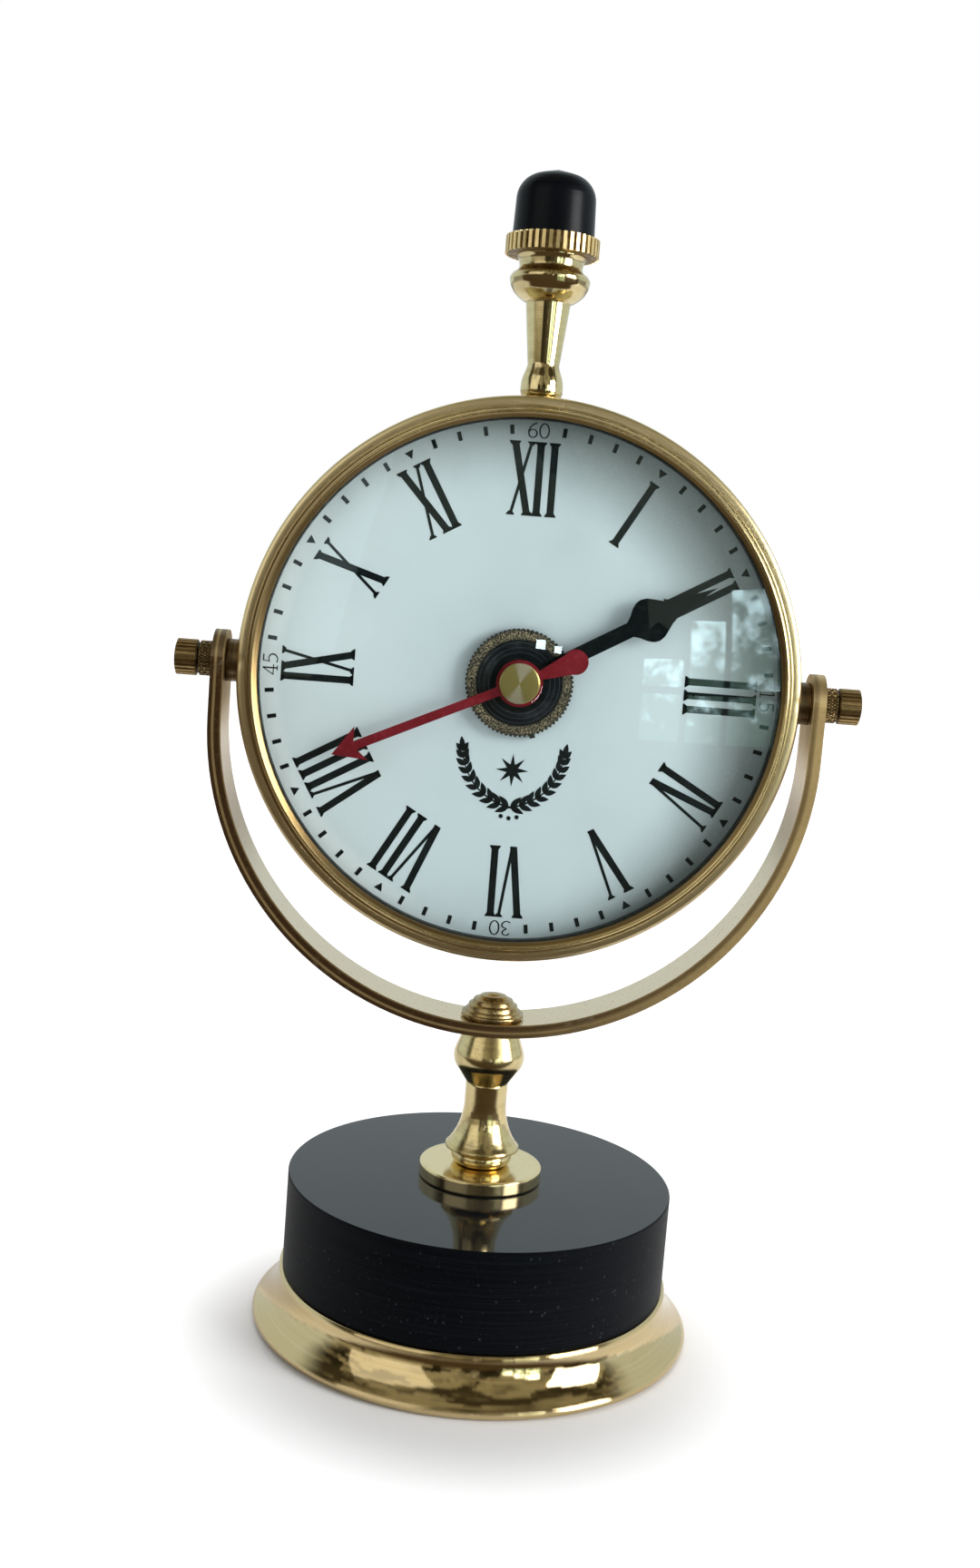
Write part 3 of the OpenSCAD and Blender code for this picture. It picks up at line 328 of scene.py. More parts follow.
# ---------------------------------------------------------------- finishes


@dataclass(frozen=True)
class Finish:
    """What all finishes share: a name, and the construction pieces that wear it."""

    name: str
    nodes: str = ""

    def paint(self, graph: Graph) -> Socket:
        """Builds the shader."""
        raise NotImplementedError

    def material(self) -> bpy.types.Material:
        """The finished material."""
        return make_material(f"{self.name}_finish", self.paint)


@dataclass(frozen=True)
class TurnedBrass(Finish):
    """Turned brass with tool lines, a little tarnish and fine handling marks.

    It is dull within the radius `lip` and, by the share `left`, on its left. Its edges are shaded as if rounded by
    the radius `soften`, and `wedges` is the strength of the two bright fans of a brushed face.
    """

    turning: Turning = Turning.UPRIGHT
    bright: Colour = (0.84, 0.745, 0.44)
    tarnish_and_shade_tone: Colour = (0.50, 0.365, 0.16)
    gleam: Colour = (1.0, 0.90, 0.68)
    tarnish: float = 0.35
    smooth: float = 0.12
    rough: float = 0.30
    line_pitch: float = 0.25
    line_depth: float = 0.0012
    dents: float = 0.02
    wedges: float = 0.0
    wedge_turn: float = -1.25
    lip: float = 0.0
    lip_blur: float = 0.2
    left: float = 0.0
    left_side: Point2 = (-18.0, -45.0)
    soften: float = 0.6

    def paint(self, graph: Graph) -> Socket:
        """Builds the shader."""
        radius, depth, angle, x, _ = polar(graph, self.turning)
        lathe = graph.point(radius / self.line_pitch, depth / self.line_pitch, angle * 0.6)
        lines = graph.noise(1.0, 2.0, 0.7, where=lathe)
        broad = graph.noise(1.0, 2.0, where=graph.point(radius * 0.6, depth * 0.6, angle * 0.25))
        clouds = graph.noise(90.0, 5.0, 0.62, 0.4)
        specks = graph.noise(900.0, 3.0, 0.6)
        aged = (clouds * 0.6 + broad * 0.25 + specks * 0.15).ramp(0.62 - 0.28 * self.tarnish, 0.66)
        spots = graph.cells(420.0).ramp(0.10, 0.02) * graph.noise(60.0).ramp(0.5, 0.62)
        mask = (aged * self.tarnish + spots * 0.35 * self.tarnish).bounded()
        # Painted shade: within the radius lip, and on the left by the share left, the colour moves to the tone
        # shared with tarnish.
        if self.lip:
            mask = mask.most(radius.ramp(self.lip + self.lip_blur, self.lip - self.lip_blur))
        if self.left:
            mask = mask.most(x.ramp(*self.left_side) * self.left)
        # Painted highlight: two bright fans and lightened tool lines blend towards the gleam colour, standing in
        # for a brushed face's sheen.
        fan = (angle * 2.0 + self.wedge_turn).wave().ramp(0.35, 1.0) * self.wedges * (0.6 + lines * 0.8)
        shine = (lines.ramp(0.35, 0.75) * 0.12 + fan).bounded()
        colour = graph.blend(shine, graph.blend(mask, self.bright, self.tarnish_and_shade_tone), self.gleam)
        roughness = self.smooth + (self.rough - self.smooth) * (mask * 0.7 + lines * 0.2 + specks * 0.25)
        marks = lines * self.line_depth + clouds * self.dents + specks * (self.line_depth * 0.6)
        edges = graph.node("Bevel", {"Radius": self.soften * MM}, samples=8).outputs[0]
        return graph.surface(colour, roughness, marks, METAL, edges)


@dataclass(frozen=True)
class AgedStrap(Finish):
    """Rolled brass strip bent to a half ring, pale on its faces and browned along its edges."""

    half_width: float = 5.7
    face: Colour = (0.75, 0.61, 0.40)
    brown: Colour = (0.115, 0.064, 0.030)
    painted_light_tone: Colour = (0.66, 0.49, 0.24)
    dirt: Colour = (0.34, 0.24, 0.11)
    lit_side: Point2 = (-14.0, 44.0)
    browner_upward_span: Point2 = (-16.0, -5.0)

    def paint(self, graph: Graph) -> Socket:
        """Builds the shader."""
        grain = graph.noise(1.0, 3.0, 0.6, where=graph.stretched(300.0, 2600.0, 300.0))
        clouds = graph.noise(120.0, 5.0, 0.65, 0.5)
        pits = graph.noise(1500.0, 2.0, 0.6)
        edge = graph.along(Y_AXIS).size().ramp(self.half_width - 0.30, self.half_width - 0.02)
        low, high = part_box("yoke")
        half_span = (high.x - low.x) / 2.0
        heart = Vector((0, 0, low.z + half_span))
        x = graph.along(X_AXIS, heart)
        below = graph.along(Z_AXIS, heart).least(0.0)
        reach = (x * x + below * below).root()

        def inwards(start: float, end: float) -> Value:
            """Rises between two distances in from the ring's outer rim."""
            return reach.ramp(half_span / MM - start, half_span / MM - end)

        # Painted highlight: bright lines near the ring's outer and inner rims.
        middle_highlight = inwards(1.35, 1.05) * (1.0 - inwards(0.85, 0.60))
        inner_highlight = 1.0 - inwards(2.40, 2.10)
        lines = middle_highlight.most(inner_highlight * 0.8) * (0.50 + clouds * 0.6)
        # Painted light: lighter towards the right side and towards the outer rim.
        sunny = x.ramp(*self.lit_side) * (0.30 + inwards(1.9, 1.1) * 0.6) * (0.55 + clouds)
        brown_and_painted_light = graph.blend(lines.most(sunny).bounded(), self.brown, self.painted_light_tone)
        # Browner towards the top of the strap.
        browner_upward = graph.along(Z_AXIS, DIAL.origin).ramp(*self.browner_upward_span) * (0.5 + clouds * 0.6)
        patchy = (edge * clouds.ramp(0.20, 0.42)).most(clouds.ramp(0.62, 0.78) * 0.40).most(browner_upward).bounded()
        colour = graph.blend(pits.ramp(0.58, 0.70) * 0.4, graph.blend(patchy, self.face, brown_and_painted_light), self.dirt)
        roughness = 0.16 + patchy * 0.28 + grain * 0.10
        marks = grain * 0.0025 + clouds * 0.012 + pits * edge * 0.02
        return graph.surface(colour, roughness, marks, METAL)


@dataclass(frozen=True)
class Knurled(Finish):
    """Knurled brass with dark hollows and worn crests, or with crossed hatching."""

    turning: Turning = Turning.TILT
    crest: Colour = (0.62, 0.46, 0.22)
    hollow: Colour = (0.09, 0.06, 0.03)
    outer: float = 3.4
    relief: float = 0.4
    hatched: bool = False
    hatch_count: int = 34
    hatch_slope: float = 5.5

    def paint(self, graph: Graph) -> Socket:
        """Builds the shader."""
        radius, depth, angle, _, _ = polar(graph, self.turning)
        grime = graph.noise(700.0, 4.0, 0.6)
        marks = grime * 0.02
        if self.hatched:
            one, two = ((angle * self.hatch_count + depth * slope).wave()
                        for slope in (self.hatch_slope, -self.hatch_slope))
            lit = one.least(two).ramp(-0.9, 0.2)
            marks = marks + lit * 0.12
        else:
            lit = radius.ramp(self.outer - self.relief, self.outer - 0.1 * self.relief)
        mask = (lit * 0.85 + grime.ramp(0.4, 0.7) * 0.3).bounded()
        colour = graph.blend(mask, self.hollow, self.crest)
        return graph.surface(colour, 0.46 - mask * 0.2 + grime * 0.12, marks, METAL)


@dataclass(frozen=True)
class Gilt(Finish):
    """Blackened ring with gilt rubbed off in grains along its middle."""

    dark: Colour = (0.022, 0.021, 0.017)
    gilt: Colour = (0.52, 0.43, 0.26)
    inner: float = 7.95
    outer: float = 10.1

    def paint(self, graph: Graph) -> Socket:
        """Builds the shader."""
        radius = polar(graph, Turning.DIAL)[0]
        middle = radius.ramp(self.inner, self.inner + 0.5) * radius.ramp(self.outer - 0.15, self.outer - 0.75)
        grains = graph.cells(3600.0).ramp(0.62, 0.22)
        worn = graph.noise(420.0, 3.0, 0.6).ramp(0.30, 0.62)
        mask = (middle * grains * (0.35 + worn * 0.65)).bounded()
        colour = graph.blend(mask, self.dark, self.gilt)
        return graph.surface(colour, 0.42 - mask * 0.14, grains * 0.045 + worn * 0.02,
                             {"Specular IOR Level": 0.3, "Metallic": mask * 0.8})


@dataclass(frozen=True)
class Lacquer(Finish):
    """Black lacquered wood: a glossy top, a satin side with fine turning lines and small pits."""

    top_tone: Colour = (0.006, 0.008, 0.010)
    side_tone: Colour = (0.0012, 0.0019, 0.0032)
    line_sheen_tone: Colour = (0.007, 0.010, 0.015)
    pit_highlight_tone: Colour = (0.034, 0.040, 0.048)
    dust_tone: Colour = (0.10, 0.11, 0.12)
    top_gloss: float = 0.53

    def paint(self, graph: Graph) -> Socket:
        """Builds the shader."""
        radius, depth, angle, _, _ = polar(graph, Turning.UPRIGHT)
        _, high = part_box("wood_disc")
        edge, level = high.x / MM, high.z / MM
        top = depth.ramp(level - 0.30, level - 0.12) * radius.ramp(edge - 0.1, edge - 0.3)
        side = 1.0 - top
        around = graph.point(angle * edge, depth, radius * 0.2)
        lines = graph.noise(1.0, 3.0, 0.6, where=graph.point(angle * 1.5, depth * 9.0, radius * 9.0))
        grain = graph.noise(1.0, 4.0, 0.6, 0.5, graph.point(angle * edge * 0.5, depth * 3.0, 0.0))
        scattered = graph.noise(0.22, 2.0, where=around).ramp(0.40, 0.60)
        wells = graph.cells(0.62, around).ramp(0.20, 0.05) * scattered
        pores = graph.cells(1.35, graph.point(angle * edge, depth * 0.8, 4.0)).ramp(0.13, 0.05) * scattered
        pits = wells.most(pores * 0.8) * side
        dust = graph.noise(1400.0, 2.0, 0.7).ramp(0.66, 0.80)
        base = graph.blend(top, self.side_tone, self.top_tone)
        # Painted sheen: the side's real turning lines are lightened.
        toned = graph.blend(lines.ramp(0.42, 0.75) * 0.6 * side, base, self.line_sheen_tone)
        # Painted highlight: the pits are lightened; the dust is real.
        colour = graph.blend(dust * 0.12, graph.blend(pits * 0.7, toned, self.pit_highlight_tone), self.dust_tone)
        roughness = 0.44 - top * 0.34 + grain * 0.05 * side + dust * 0.05 + pits * 0.1
        marks = (lines * 0.010 + grain * 0.02) * side - pits * 0.10 + grain * 0.0006
        return graph.surface(colour, roughness, marks,
                             {"IOR": 1.5, "Specular IOR Level": 0.06, "Coat Roughness": 0.03, "Coat IOR": 1.45,
                              "Coat Weight": top * self.top_gloss})


@dataclass(frozen=True)
class DialCard(Finish):
    """Pale bluish dial, faintly mottled, with the shades and lights that the domed glass throws near its rim."""

    centre: Colour = (0.63, 0.725, 0.762)
    rim: Colour = (0.23, 0.27, 0.27)
    glow: Colour = (0.93, 0.99, 0.99)
    fleck: Colour = (0.82, 0.90, 0.90)
    shade_at: Point2 = (-9.5, -5.0)
    shade_radii: Point2 = (38.5, 54.0)
    crescent_radii: Point2 = (43.0, 47.0)
    glow_radii: Point2 = (41.5, 48.0)
    glow_side: Point2 = (0.0, -44.0)

    def paint(self, graph: Graph) -> Socket:
        """Builds the shader."""
        radius, _, _, x, y = polar(graph, Turning.DIAL)
        across, upward = x - self.shade_at[0], y - self.shade_at[1]
        from_shade = (across * across + upward * upward).root()
        clouds = graph.noise(28.0, 3.0, 0.5)
        fine = graph.noise(2500.0, 2.0, 0.6)
        # Painted shade: an off-centre ring, darkest on the right, and a crescent at the upper left darken the rim,
        # faintly mottled.
        crescent = radius.ramp(*self.crescent_radii) * (x * -0.012 + y * 0.03).ramp(0.75, 1.35) * 0.34
        shade = from_shade.ramp(*self.shade_radii) * 0.95 + clouds.ramp(0.42, 0.74) * 0.16
        shaded = graph.blend(shade.most(crescent).bounded(), self.centre, self.rim)
        # Painted light: the lower left of the rim and the left side are lightened towards the glow colour.
        glow = radius.ramp(*self.glow_radii) * (x * -0.03 + y * -0.008).ramp(0.5, 1.3)
        lit = graph.blend(glow.most(x.ramp(*self.glow_side) * 0.36), shaded, self.glow)
        colour = graph.blend(fine.ramp(0.45, 0.75) * 0.06, lit, self.fleck)
        marks = fine * 0.002 + clouds * 0.004
        return graph.surface(colour, 0.42 + fine * 0.1, marks, {"Specular IOR Level": 0.35})


@dataclass(frozen=True)
class Enamel(Finish):
    """Smooth paint or ink with a slightly uneven coat."""

    tone: Colour = (0.02, 0.02, 0.025)
    thin: Colour = (0.05, 0.055, 0.06)
    rough: float = 0.35
    grain: float = 1800.0
    gloss: float = 0.5

    def paint(self, graph: Graph) -> Socket:
        """Builds the shader."""
        fine = graph.noise(self.grain, 3.0, 0.65)
        clouds = graph.noise(160.0, 3.0, 0.5)
        mask = fine.ramp(0.48, 0.72) * 0.6 + clouds.ramp(0.45, 0.7) * 0.3
        roughness = self.rough + fine * 0.12 + clouds * 0.06
        return graph.surface(graph.blend(mask, self.tone, self.thin), roughness, fine * 0.004 + clouds * 0.006,
                             {"Specular IOR Level": self.gloss})


@dataclass(frozen=True)
class DomeGlass(Finish):
    """Clear glass that lets the dial through and mirrors the room more towards its edge."""

    tint: Colour = (0.972, 0.99, 0.985)
    sheen: Colour = (0.74, 0.93, 1.0)
    straight: float = 0.026
    falloff: float = 5.0

    def paint(self, graph: Graph) -> Socket:
        """Builds the shader."""
        film = graph.noise(70.0, 4.0, 0.6)
        dust = graph.noise(2200.0, 2.0, 0.6).ramp(0.72, 0.82)
        clear = graph.node("BsdfTransparent", {"Color": self.tint}).outputs[0]
        roughness = film.ramp(0.55, 0.8) * 0.02 + dust * 0.05
        gloss = graph.node("BsdfGlossy", {"Color": self.sheen, "Roughness": roughness}).outputs[0]
        facing = graph.value("LayerWeight", {"Blend": 0.5}, "Facing")
        return graph.mixed(facing ** self.falloff * (1.0 - self.straight) + self.straight, clear, gloss)


@dataclass(frozen=True)
class Plastic(Finish):
    """Moulded or turned plastic with faint lines and handling marks, and grooves where `rings` asks for them."""

    turning: Turning = Turning.DIAL
    tone: Colour = (0.02, 0.02, 0.02)
    pale: Colour = (0.06, 0.06, 0.06)
    rough: float = 0.4
    rings: float = 0.0
    ring_count: float = 5.0
    gloss: float = 0.5

    def paint(self, graph: Graph) -> Socket:
        """Builds the shader."""
        radius, depth, angle, _, _ = polar(graph, self.turning)
        lines = graph.noise(1.0, 2.0, 0.6, where=graph.point(radius * 7.0, depth * 7.0, angle * 0.4))
        clouds = graph.noise(220.0, 4.0, 0.6)
        fine = graph.noise(2600.0, 2.0, 0.7)
        grooves = (radius * self.ring_count).wave().ramp(0.86, 1.0) * self.rings
        mask = clouds.ramp(0.5, 0.75) * 0.35 + fine.ramp(0.55, 0.8) * 0.25 + lines * 0.10 + grooves
        colour = graph.blend(mask.bounded(), self.tone, self.pale)
        roughness = self.rough + clouds * 0.10 + lines * 0.08
        marks = lines * 0.006 + fine * 0.003 + grooves * 0.05
        return graph.surface(colour, roughness, marks, {"Specular IOR Level": self.gloss})


@dataclass(frozen=True)
class Steel(Finish):
    """Plain or plated steel, rolled, with light scratches."""

    tone: Colour = (0.58, 0.59, 0.60)
    dark: Colour = (0.30, 0.29, 0.28)
    rough: float = 0.28

    def paint(self, graph: Graph) -> Socket:
        """Builds the shader."""
        drawn = graph.noise(1.0, 3.0, 0.6, where=graph.stretched(400.0, 3000.0, 3000.0))
        clouds = graph.noise(260.0, 4.0, 0.6)
        colour = graph.blend(clouds.ramp(0.45, 0.72) * 0.6 + drawn * 0.2, self.tone, self.dark)
        roughness = self.rough + drawn * 0.15 + clouds * 0.1
        return graph.surface(colour, roughness, drawn * 0.003 + clouds * 0.01, METAL)


@dataclass(frozen=True)
class Felt(Finish):
    """Dark pressed felt."""

    tone: Colour = (0.018, 0.018, 0.020)
    fibre: Colour = (0.070, 0.070, 0.075)

    def paint(self, graph: Graph) -> Socket:
        """Builds the shader."""
        hairs = graph.noise(1600.0, 5.0, 0.75, 1.5)
        tufts = graph.noise(350.0, 3.0, 0.6)
        colour = graph.blend(hairs.ramp(0.45, 0.7) * 0.7 + tufts * 0.2, self.tone, self.fibre)
        return graph.surface(colour, 0.9 + hairs * 0.1, hairs * 0.15 + tufts * 0.1,
                             {"Sheen Weight": 0.3, "Sheen Roughness": 0.6})


@dataclass(frozen=True)
class WoundWire(Finish):
    """Enamelled wire wound in close turns around the coil."""

    tone: Colour = (0.48, 0.17, 0.06)
    gap_shade: Colour = (0.10, 0.03, 0.015)
    pitch: float = 0.16

    def paint(self, graph: Graph) -> Socket:
        """Builds the shader."""
        turns = (graph.along(DIAL.up, DIAL.origin) * (math.tau / self.pitch)).wave()
        clouds = graph.noise(500.0, 3.0, 0.6)
        # Painted shade: darker between the turns.
        colour = graph.blend(turns.ramp(-1.0, -0.2) * 0.8 + clouds * 0.2, self.gap_shade, self.tone)
        return graph.surface(colour, 0.3 + clouds * 0.1, turns * 0.04,
                             {"Specular IOR Level": 0.6, "Metallic": 0.5 + clouds * 0.3})


@dataclass(frozen=True)
class WrapBand(Finish):
    """A dry cell's plain wrap: a dark body with one copper-coloured band."""

    body: Colour = (0.03, 0.032, 0.036)
    band: Colour = (0.50, 0.26, 0.10)
    band_from: Point2 = (0.70, 0.71)
    band_to: Point2 = (0.955, 0.96)

    def paint(self, graph: Graph) -> Socket:
        """Builds the shader."""
        low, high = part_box("battery")
        along = graph.along(X_AXIS, Vector((low.x, 0, 0))) * (MM / (high.x - low.x))
        banded = along.ramp(*self.band_from) * (1.0 - along.ramp(*self.band_to))
        clouds = graph.noise(300.0, 3.0, 0.6)
        colour = graph.blend((banded * (0.9 + clouds * 0.1)).bounded(), self.body, self.band)
        return graph.surface(colour, 0.25 + clouds * 0.12, clouds * 0.02, {"Metallic": banded * 0.6})


INK = Enamel("dial_ink", tone=(0.004, 0.008, 0.009), thin=(0.014, 0.022, 0.024), rough=0.5, gloss=0.1)
FINISHES = (
    TurnedBrass("foot_brass", "brass_foot", bright=(0.63, 0.49, 0.255), tarnish=0.25, line_pitch=0.5,
                line_depth=0.0002, dents=0.007, smooth=0.03, rough=0.09, soften=1.6),
    TurnedBrass("flange_brass", "pillar_flange", bright=(0.82, 0.67, 0.37), tarnish_and_shade_tone=(0.42, 0.29, 0.11),
                tarnish=0.30, smooth=0.13, rough=0.26, dents=0.012),
    TurnedBrass("pillar_brass", "neck_ring pillar_column vase_collar bottom_plug", bright=(0.68, 0.56, 0.28),
                tarnish_and_shade_tone=(0.30, 0.20, 0.075), tarnish=0.60, line_pitch=0.3, dents=0.018, rough=0.28),
    TurnedBrass("dome_nut_brass", "dome_nut", bright=(0.43, 0.32, 0.145), tarnish_and_shade_tone=(0.14, 0.09, 0.032),
                tarnish=0.7, line_pitch=0.35, line_depth=0.006, smooth=0.2, rough=0.36),
    # Painted shade: the band is darkened within radius 51, where it meets the bezel.
    TurnedBrass("band_brass", "case_band", Turning.DIAL, bright=(0.80, 0.66, 0.38), tarnish_and_shade_tone=(0.52, 0.38, 0.18),
                tarnish=0.2, lip=51.0, smooth=0.27, rough=0.36, line_depth=0.0002, dents=0.002, soften=1.2),
    # Painted shade: the bezel is darkened on its inner slope within radius 49.2 and on its left.
    TurnedBrass("bezel_brass", "bezel", Turning.DIAL, bright=(0.74, 0.59, 0.29), tarnish_and_shade_tone=(0.26, 0.16, 0.055),
                tarnish=0.45, left=0.85, smooth=0.19, line_depth=0.0003, dents=0.003, lip=49.2, soften=0.4),
    TurnedBrass("shell_brass", "case_shell", Turning.DIAL, bright=(0.78, 0.65, 0.38), tarnish_and_shade_tone=(0.42, 0.30, 0.14),
                tarnish=0.55, smooth=0.16, rough=0.38),
    TurnedBrass("back_brass", "back_cover", Turning.DIAL, bright=(0.80, 0.68, 0.40), tarnish_and_shade_tone=(0.50, 0.37, 0.18),
                tarnish=0.40, smooth=0.20, rough=0.40, line_pitch=0.6, line_depth=0.004),
    TurnedBrass("boss_brass", "left_pivot_boss right_pivot_boss", Turning.TILT, bright=(0.20, 0.13, 0.06),
                tarnish_and_shade_tone=(0.05, 0.03, 0.015), tarnish=0.9, smooth=0.25, rough=0.45),
    TurnedBrass("finial_brass", "finial_boss finial_stem", Turning.FINIAL, bright=(0.69, 0.57, 0.30),
                tarnish_and_shade_tone=(0.32, 0.22, 0.09), tarnish=0.5, line_pitch=0.3, dents=0.012, smooth=0.05, rough=0.2),
    # Painted highlight: the cap's two bright fans.
    TurnedBrass("cap_brass", "hand_cap centre_bush", Turning.DIAL, bright=(0.60, 0.49, 0.17),
                tarnish_and_shade_tone=(0.36, 0.29, 0.10), tarnish=0.06, smooth=0.28, rough=0.36, line_pitch=0.12, dents=0.0,
                wedges=1.0),
    AgedStrap("strap_brass", "yoke"),
    Knurled("screw_knurl", "left_thumb_screw right_thumb_screw", crest=(0.44, 0.31, 0.14),
            hollow=(0.07, 0.045, 0.02), relief=0.45),
    Knurled("collar_knurl", "left_lock_collar right_lock_collar", crest=(0.42, 0.30, 0.14),
            hollow=(0.07, 0.045, 0.02), hatched=True),
    Knurled("ferrule_knurl", "finial_ferrule", Turning.FINIAL, crest=(0.86, 0.67, 0.34),
            hollow=(0.16, 0.10, 0.04), outer=8.7, relief=0.6),
    Plastic("knob_black", "finial_knob", Turning.FINIAL, tone=(0.0018, 0.0026, 0.0042),
            pale=(0.0045, 0.006, 0.008), rough=0.2, gloss=0.09),
    Plastic("hub_black", "minute_hub", tone=(0.004, 0.006, 0.009), pale=(0.075, 0.085, 0.095), rough=0.30,
            rings=0.45, ring_count=6.9, gloss=0.06),
    Plastic("black_moulding", "crystal_spacer movement_housing setting_knob", tone=(0.016, 0.016, 0.016),
            pale=(0.05, 0.05, 0.05), rough=0.45),
    Plastic("natural_moulding", "movement_cover stepper_rotor minute_pipe hour_arbor motion_wheel third_wheel "
            "seconds_wheel", tone=(0.62, 0.62, 0.58), pale=(0.75, 0.75, 0.72), rough=0.42),
    Plastic("soft_rubber", "rubber_washer", pale=(0.045, 0.045, 0.045), rough=0.75),
    Gilt("centre_nut_gilt", "dial_nut"),
    DialCard("dial_card", "dial"),
    Enamel("minute_hand_black", "minute_hand", tone=(0.004, 0.007, 0.008), thin=(0.014, 0.018, 0.020),
           rough=0.38, grain=900.0, gloss=0.03),
    Enamel("hour_hand_red", "hour_hand", tone=(0.17, 0.006, 0.013), thin=(0.27, 0.022, 0.034), rough=0.36,
           grain=900.0, gloss=0.12),
    Enamel("board_green", "circuit_board", tone=(0.012, 0.09, 0.035), thin=(0.03, 0.16, 0.07), rough=0.4),
    DomeGlass("dome_glass", "crystal"),
    Steel("plain_steel", "tie_rod rod_washer rod_nut finial_screw movement_screws coil_core stator_plate"),
    Steel("plated_steel", "cover_screws battery_contacts", tone=(0.72, 0.70, 0.66), dark=(0.45, 0.42, 0.38),
          rough=0.2),
    Lacquer("black_lacquer", "wood_disc"),
    Felt("felt_black", "felt_pad"),
    WoundWire("coil_wire", "coil_winding"),
    WrapBand("cell_wrap", "battery"),
)


def dress() -> None:
    """Gives every construction piece its finish."""
    for finish in FINISHES:
        for name in finish.nodes.split():
            slots = frame["nodes"][name].data.materials
            slots.clear()
            slots.append(finish.material())
            LOG.info("dressed %s in %s", name, finish.name)


# ---------------------------------------------------------------- drawn shapes


def smooth_curve(points: Sequence[Point2], steps: int = 6) -> list[Point2]:
    """A smooth curve through given points.

    Args:
        points: the points it passes.
        steps: pieces between two of them.
    Returns:
        The curve's points.
    """
    ends = [points[0], *points, points[-1]]
    curve = []
    for a, b, c, d in zip(ends, ends[1:], ends[2:], ends[3:]):
        for i in range(steps):
            t = i / steps
            curve.append(tuple(
                0.5 * (2 * b[k] + (c[k] - a[k]) * t + (2 * a[k] - 5 * b[k] + 4 * c[k] - d[k]) * t * t
                       + (3 * b[k] - a[k] - 3 * c[k] + d[k]) * t ** 3) for k in (0, 1)))
    curve.append(tuple(points[-1]))
    return curve


def ellipse(x: float, y: float, across: float, upward: float, count: int = 32) -> list[Point2]:
    """Points of an ellipse around (x, y), given its two radii."""
    return [(x + across * math.cos(math.tau * i / count), y + upward * math.sin(math.tau * i / count))
            for i in range(count)]


def heading(points: Sequence[Point2], i: int, closed: bool) -> Vector:
    """Direction of a line at one of its points."""
    last = len(points) - 1
    before = points[i - 1] if i or closed else points[0]
    after = points[(i + 1) % len(points)] if i < last or closed else points[last]
    return Vector((after[0] - before[0], after[1] - before[1])).normalized()


@dataclass
class Outline:
    """Flat shapes given a thickness, in millimetres, in the dial's plane."""

    low: float
    high: float
    mesh: bmesh.types.BMesh = field(default_factory=bmesh.new)

    def loft(self, sections: Iterable[Iterable[Point3]], closed: bool = False) -> None:
        """Joins sections with the same number of corners; the last meets the first if closed."""
        rings = [[self.mesh.verts.new(corner) for corner in section] for section in sections]
        for one, two in zip(rings, [*rings[1:], rings[0]] if closed else rings[1:]):
            for k, corner in enumerate(one):
                beside = (k + 1) % len(one)
                self.mesh.faces.new((corner, one[beside], two[beside], two[k]))
        if not closed:
            self.mesh.faces.new(rings[0])
            self.mesh.faces.new(rings[-1])

    def prism(self, points: Sequence[Point2]) -> None:
        """Adds one closed outline."""
        self.loft([(x, y, z) for x, y in points] for z in (self.low, self.high))

    def ribbon(self, points: Sequence[Point2], widths: Sequence[float], closed: bool = False) -> None:
        """Adds a stroke whose width varies along it.

        Args:
            points: its middle line.
            widths: its width at each point.
            closed: whether its ends meet.
        """
        sections = []
        for i, ((x, y), width) in enumerate(zip(points, widths)):
            along = heading(points, i, closed)
            side = Vector((-along.y, along.x)) * width / 2
            sections.append([(x + s * side.x, y + s * side.y, z)
                             for s, z in ((-1, self.low), (1, self.low), (1, self.high), (-1, self.high))])
        self.loft(sections, closed)

    def piece(self, name: str) -> None:
        """Turns what was drawn into a printed piece of that name, which rides on the case."""
        bmesh.ops.recalc_face_normals(self.mesh, faces=self.mesh.faces)
        self.mesh.transform(DIAL.matrix @ Matrix.Scale(MM, 4))
        data = bpy.data.meshes.new(name)
        self.mesh.to_mesh(data)
        self.mesh.free()
        data.materials.append(INK.material())
        made = add_object(name, data)
        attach(made, "case")
        LOG.info("made %s with %d faces", name, len(data.polygons))


class Stroke(Enum):
    """Weights of strokes, as shares of the figure's height."""

    THICK = 0.098
    THIN = 0.042
    FINE = 0.062


